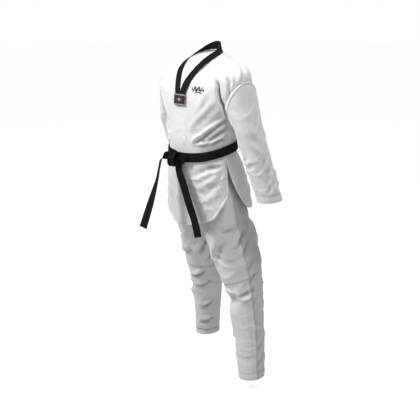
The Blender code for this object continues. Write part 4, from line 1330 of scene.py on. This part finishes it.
def make_knot():
    """A flat knot: two turns wrapped over each other, a third drawn down over both, a corner standing up."""
    low, high = node_box("belt_knot_core")
    x, y, z = (low + high) / 2
    front = y - 0.020
    over = ribbon(
        "belt_knot_over",
        [
            (x + 0.018, y + 0.002, z + 0.014), (x + 0.015, front + 0.008, z + 0.022),
            (x + 0.008, front - 0.003, z + 0.014), (x - 0.002, front - 0.009, z - 0.006),
            (x - 0.008, front - 0.003, z - 0.030), (x - 0.008, front + 0.012, z - 0.040),
            (x - 0.006, y + 0.008, z - 0.034),
        ],
        [(1, 0, 0.10), (1, 0, 0.30), (1, 0, 0.42), (1, 0, 0.45), (1, 0, 0.30), (1, 0, 0.20), (1, 0, 0.1)],
        [0.034, 0.038, 0.040, 0.040, 0.038, 0.034, 0.030],
        crown=0.0024,
    )
    under = ribbon(
        "belt_knot_under",
        [
            (x + 0.052, y + 0.008, z + 0.002), (x + 0.032, y - 0.006, z + 0.000),
            (x + 0.006, front + 0.002, z - 0.002), (x - 0.018, front + 0.000, z + 0.000),
            (x - 0.036, front + 0.002, z + 0.003), (x - 0.044, y + 0.001, z + 0.000),
            (x - 0.034, y + 0.010, z - 0.002),
        ],
        [(0, 0, 1), (0.1, 0, 1), (0.25, 0, 1), (0.2, 0, 1), (0.1, -0.1, 1), (0, 0, 1), (0, 0, 1)],
        [0.038, 0.038, 0.037, 0.036, 0.034, 0.032, 0.032],
        crown=0.0018,
    )
    lower = ribbon(
        "belt_knot_lower",
        [
            (x + 0.036, y + 0.006, z - 0.012), (x + 0.018, y - 0.012, z - 0.020),
            (x - 0.004, front + 0.006, z - 0.024), (x - 0.024, y - 0.010, z - 0.018),
            (x - 0.034, y + 0.006, z - 0.008),
        ],
        [(0.1, 0, 1), (0.25, 0, 1), (0.1, 0, 1), (-0.2, 0, 1), (-0.3, 0, 1)],
        [0.026, 0.030, 0.032, 0.030, 0.024],
        crown=0.0018,
    )
    corner = ribbon(
        "belt_knot_corner",
        [
            (x + 0.014, y + 0.000, z + 0.002), (x - 0.006, y - 0.006, z + 0.014),
            (x - 0.022, y - 0.008, z + 0.024), (x - 0.034, y - 0.006, z + 0.035),
        ],
        [(0.5, 0, 1), (0.6, 0, 1), (0.7, 0, 1), (0.8, 0, 0.8)],
        [0.038, 0.036, 0.024, 0.005],
    )
    for obj in (over, under, lower, corner):
        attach(obj, "torso")
    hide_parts("belt_knot_core", "belt_knot_loop")
    return Vector((x, y, z))


def make_tails(knot):
    """The two free ends. The right one leaves the knot sideways and hangs free, turned edge on."""
    x, y, z = knot
    left = ribbon(
        "left_belt_end",
        [
            (x + 0.010, y + 0.004, z + 0.006), (x + 0.013, y - 0.002, z - 0.022), (x + 0.021, y - 0.004, z - 0.060),
            (x + 0.046, y - 0.004, z - 0.110), (x + 0.076, y + 0.001, z - 0.188),
            (x + 0.103, y + 0.008, z - 0.260), (x + 0.122, y + 0.010, z - 0.325),
        ],
        [(1, 0, 0), (1, 0.05, 0), (1, 0.10, 0), (1, 0.14, 0), (1, 0.14, 0), (1, 0.12, 0), (1, 0.10, 0)],
        [0.030, 0.034, 0.038, 0.0395, 0.040, 0.040, 0.040],
        crown=0.0012,
    )
    right = ribbon(
        "right_belt_end",
        [
            (x - 0.020, y - 0.012, z + 0.000), (x - 0.034, y - 0.030, z + 0.004), (x - 0.040, y - 0.050, z - 0.010),
            (x - 0.041, y - 0.061, z - 0.045), (x - 0.046, y - 0.071, z - 0.100),
            (x - 0.064, y - 0.094, z - 0.200), (x - 0.080, y - 0.122, z - 0.300),
        ],
        [(0.1, 0, 1), (0.3, 0.3, 0.8), (0.75, -0.30, 0.35), (0.86, -0.50, 0), (0.90, -0.42, 0),
         (1.00, 0.02, 0), (0.98, 0.20, 0)],
        [0.030, 0.033, 0.036, 0.038, 0.040, 0.040, 0.040],
        crown=0.0010,
    )
    for obj, word in ((left, "left"), (right, "right")):
        bridge(obj)
        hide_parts(f"{word}_belt_tail")


# ------------------------------------------------------------------ collar, badges and label
def refined(node, name, material, levels=3, sharp=50):
    """A smooth copy of a CAD piece: its facets become curves and its edges stay crisp."""
    bm = bmesh.new()
    bm.from_mesh(frame["nodes"][node].data)
    bmesh.ops.remove_doubles(bm, verts=bm.verts, dist=1e-5)
    bmesh.ops.join_triangles(
        bm, faces=bm.faces, angle_face_threshold=math.radians(20), angle_shape_threshold=math.radians(50)
    )
    crease = bm.edges.layers.float.new("crease_edge")
    for edge in bm.edges:
        if len(edge.link_faces) == 2 and edge.calc_face_angle(0.0) > math.radians(sharp):
            edge[crease] = 0.85
    for face in bm.faces:
        face.smooth = True
    mesh = bpy.data.meshes.new(name)
    bm.to_mesh(mesh)
    bm.free()
    mesh.materials.append(material)
    obj = bpy.data.objects.new(name, mesh)
    bpy.context.scene.collection.objects.link(obj)
    subdivision = obj.modifiers.new("smooth", "SUBSURF")
    subdivision.levels = subdivision.render_levels = levels
    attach(obj, "torso")
    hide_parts(node)
    return obj


def make_collar():
    """One band in three lengths, joined above the shoulders."""
    left, right = collar_edges(1), collar_edges(-1)
    seam = 4
    back = right[seam:0:-1] + left[: seam + 1]
    for word, edges in (("back", back), ("left", left[seam:]), ("right", right[seam:][::-1])):
        name = f"collar_{word}_twill"
        obj = place(name, sheet(name, collar_band(edges)), COLLAR_TWILL, 0.0024, 0.0006)
        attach(obj, "torso")
        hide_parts(f"collar_band_{word}")
    obj = refined("nape_label", "inside_label", label_material(), 1)


def collar_band(edges, columns=11):
    """A band between two edge curves, bowed outwards a little."""
    low = curve_through([low for low, _ in edges], 8)
    high = curve_through([high for _, high in edges], 8)
    shares = np.linspace(0, 1, columns)
    points = np.array([low + (high - low) * share for share in shares])
    lift = 0.0024 + 0.0014 * np.sin(np.pi * shares)[:, None]
    return points + normals_of(points, False) * lift[:, :, None]


def label_material():
    """A white satin label with a few printed grey bars."""
    n = Nodes("white_satin_label")
    split = n.add("ShaderNodeSeparateXYZ", Vector=n.position())
    across = n.math("ABSOLUTE", split.outputs[0])
    bar = n.ramp(n.wave(split.outputs[2], 0.008), 0.62, 0.72)
    inside = n.math("SUBTRACT", 1.0, n.ramp(across, 0.011, 0.012))
    ink = n.math("MULTIPLY", bar, inside)
    n.set(n.shader, "Base Color", n.mix(ink, (0.85, 0.85, 0.85, 1.0), (0.20, 0.20, 0.21, 1.0)))
    n.set(n.shader, "Roughness", 0.45)
    return n.material


def make_patch():
    """The woven patch at the point of the collar: black, with a light bar at each end and a small diamond."""
    low, high = node_box("collar_patch")
    obj = refined("collar_patch", "woven_patch", patch_material(low + SHIFT, high + SHIFT), 3)


def patch_material(low, high):
    n = Nodes("woven_patch")
    split = n.add("ShaderNodeSeparateXYZ", Vector=n.position())
    middle = (low + high) / 2
    up = n.math("ABSOLUTE", n.math("SUBTRACT", split.outputs[2], middle.z))
    across = n.math("ABSOLUTE", n.math("SUBTRACT", split.outputs[0], middle.x))
    half = (high.z - low.z) / 2
    bar = n.math("MULTIPLY", n.ramp(up, half * 0.74, half * 0.77), n.math("SUBTRACT", 1.0, n.ramp(up, half * 0.90, half * 0.93)))
    diamond = n.math("ADD", n.math("MULTIPLY", across, 0.8), up)
    centre = n.math("SUBTRACT", 1.0, n.ramp(diamond, 0.0060, 0.0066))
    side_marks = n.math("MULTIPLY", n.ramp(across, 0.010, 0.0105), n.math("SUBTRACT", 1.0, n.ramp(across, 0.015, 0.0155)))
    side_marks = n.math("MULTIPLY", side_marks, n.math("SUBTRACT", 1.0, n.ramp(up, 0.0035, 0.004)))
    thread = n.wave(split.outputs[0], 0.0012)
    tint = n.mix(thread, (0.010, 0.010, 0.010, 1.0), (0.022, 0.022, 0.022, 1.0))
    tint = n.mix(bar, tint, (0.42, 0.42, 0.40, 1.0))
    tint = n.mix(centre, tint, (0.60, 0.48, 0.16, 1.0))
    tint = n.mix(side_marks, tint, (0.24, 0.20, 0.20, 1.0))
    n.set(n.shader, "Base Color", tint)
    n.set(n.shader, "Roughness", 0.6)
    n.set(n.shader, "Normal", n.bump(thread, 0.0002))
    return n.material


def make_embroidery(body_tree):
    """A plain wave pattern in raised satin stitch on the left chest."""
    low, high = node_box("chest_emblem")
    middle, half = (low + high) / 2, (high.x - low.x) / 2

    def chest(x, z):
        hit = body_tree.ray_cast(Vector((x, -0.5, z)), Vector((0, 1, 0)), 0.6)
        return np.array(hit[0]), np.array(hit[1])

    def stroke(name, offset, height, waves, width, material, start=-1.0, end=1.0, seed=0.0):
        count = 90
        line = []
        for i in range(count):
            s = start + (end - start) * i / (count - 1)
            line.append((middle.x + s * half, middle.z + offset + height * math.sin(s * math.pi * waves + seed)))
        line = np.array(line)
        side = np.gradient(line, axis=0)
        side = np.stack([-side[:, 1], side[:, 0]], axis=-1)
        side /= np.linalg.norm(side, axis=1, keepdims=True)
        rows = []
        for share, lift in ((-0.5, 0.0000), (-0.42, 0.0007), (0.0, 0.0011), (0.42, 0.0007), (0.5, 0.0000)):
            row = []
            for i, (x, z) in enumerate(line + side * share * width):
                taper = min(1.0, 0.25 + 3.0 * min(i, count - 1 - i) / count)
                spot, normal = chest(line[i][0] + (x - line[i][0]) * taper, line[i][1] + (z - line[i][1]) * taper)
                ridge = 0.00015 * math.sin(i * 2.1)
                row.append(spot + normal * (lift + ridge + 0.0002))
            rows.append(row)
        obj = place(name, sheet(name, np.array(rows)), material, 0.0)
        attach(obj, "torso")
        return obj

    first = stroke("chest_wave_upper", 0.0035, 0.0065, 3.5, 0.0060, BLACK_THREAD, -0.98, 0.80)
    stroke("chest_wave_middle", -0.0045, 0.0045, 3.5, 0.0040, GREY_THREAD, -0.90, 0.70, 0.5)
    stroke("chest_wave_lower", -0.0120, 0.0020, 2.5, 0.0030, BLACK_THREAD, -0.55, 0.80, 1.0)
    stroke("chest_bar", -0.0020, 0.0015, 1.0, 0.0110, RED_THREAD, 0.74, 0.98, 0.0)
    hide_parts("chest_emblem")


def make_drawcord():
    obj = refined("trouser_drawcord", "waist_drawcord", WHITE_THREAD, 1)


# ------------------------------------------------------------------ floor, light and camera
def make_stage():
    """A pale floor that runs into the white backdrop and still takes a soft shadow."""
    bpy.ops.mesh.primitive_plane_add(size=60.0, location=(0.0, 0.0, SHIFT.z))
    floor = bpy.context.object
    floor.name = "studio_floor"
    n = Nodes("pale_floor")
    n.set(n.shader, "Base Color", (0.55, 0.55, 0.55, 1.0))
    n.set(n.shader, "Roughness", 1.0)
    n.set(n.shader, "Specular IOR Level", 0.0)
    n.set(n.shader, "Emission Color", (1.0, 1.0, 1.0, 1.0))
    seen = n.tree.nodes.new("ShaderNodeLightPath").outputs["Is Camera Ray"]
    n.set(n.shader, "Emission Strength", n.math("MULTIPLY", seen, 0.78))
    floor.data.materials.append(n.material)


def area_light(name, azimuth, elevation, distance, size, power):
    """A soft box aimed at the middle of the object. Azimuth is the camera's."""
    target = (CAD_LOW + CAD_HIGH) / 2
    a, e = math.radians(azimuth), math.radians(elevation)
    back = Vector((math.sin(a) * math.cos(e), -math.cos(a) * math.cos(e), math.sin(e)))
    light = bpy.data.lights.new(name, "AREA")
    light.shape = "DISK"
    light.size = size
    light.energy = power
    obj = bpy.data.objects.new(name, light)
    obj.location = target + back * distance
    obj.rotation_mode = "QUATERNION"
    obj.rotation_quaternion = (-back).to_track_quat("-Z", "Y")
    bpy.context.scene.collection.objects.link(obj)


def make_light():
    scene = bpy.context.scene
    scene.view_settings.view_transform = "Standard"
    scene.view_settings.look = "None"
    world = bpy.data.worlds.new("studio")
    scene.world = world
    world.use_nodes = True
    nodes, links = world.node_tree.nodes, world.node_tree.links
    fill_light = nodes["Background"]
    fill_light.inputs[0].default_value = (1.0, 1.0, 1.0, 1.0)
    fill_light.inputs[1].default_value = 0.38
    backdrop = nodes.new("ShaderNodeBackground")
    backdrop.inputs[0].default_value = (1.0, 1.0, 1.0, 1.0)
    backdrop.inputs[1].default_value = 1.0
    path = nodes.new("ShaderNodeLightPath")
    chooser = nodes.new("ShaderNodeMixShader")
    links.new(path.outputs["Is Camera Ray"], chooser.inputs[0])
    links.new(fill_light.outputs[0], chooser.inputs[1])
    links.new(backdrop.outputs[0], chooser.inputs[2])
    links.new(chooser.outputs[0], nodes["World Output"].inputs[0])
    area_light("key", -24, 44, 3.0, 0.6, 60.0)
    area_light("fill", 70, 60, 3.0, 0.8, 27.0)
    area_light("rim", 190, 40, 3.0, 1.5, 18.0)


CAMERA_AZIMUTH = math.radians(48)
CAMERA_PITCH = math.radians(14.8)
CAMERA_DISTANCE = 3.2
CAMERA_HEIGHT = 1.63
CAMERA_ASIDE = 0.016
CAMERA_LENS = 64.8


def make_camera():
    forward = Vector((-math.sin(CAMERA_AZIMUTH), math.cos(CAMERA_AZIMUTH), 0.0))
    aside = Vector((math.cos(CAMERA_AZIMUTH), math.sin(CAMERA_AZIMUTH), 0.0))
    spot = -forward * CAMERA_DISTANCE + aside * CAMERA_ASIDE
    spot.z = CAMERA_HEIGHT
    look = forward * math.cos(CAMERA_PITCH) - Vector((0.0, 0.0, math.sin(CAMERA_PITCH)))
    data = bpy.data.cameras.new("camera")
    data.sensor_width = 36.0
    data.lens = CAMERA_LENS
    camera = bpy.data.objects.new("camera", data)
    camera.location = spot + SHIFT
    camera.rotation_mode = "QUATERNION"
    camera.rotation_quaternion = look.to_track_quat("-Z", "Y")
    bpy.context.scene.collection.objects.link(camera)
    bpy.context.scene.camera = camera


# ------------------------------------------------------------------ everything, in order
body_tree, _ = make_jacket_body()
for side, word in SIDES:
    make_sleeve(side, word, body_tree)
make_hem_tag(make_skirt("front", 0.0, front_vent_angle, front_hem, FRONT_SKIRT_FOLDS))
make_skirt("back", math.pi, back_vent_angle, back_hem, BACK_SKIRT_FOLDS)
make_leg(1, "left", LEFT_LEG_FOLDS)
make_leg(-1, "right", RIGHT_LEG_FOLDS)
make_waistband()
make_drawcord()
make_belt_turn("belt_inner_wrap", "belt_inner_turn", -0.0012)
make_belt_turn("belt_outer_wrap", "belt_outer_turn", 0.0)
make_tails(make_knot())
make_collar()
make_patch()
make_embroidery(body_tree)
make_stage()
make_light()
make_camera()
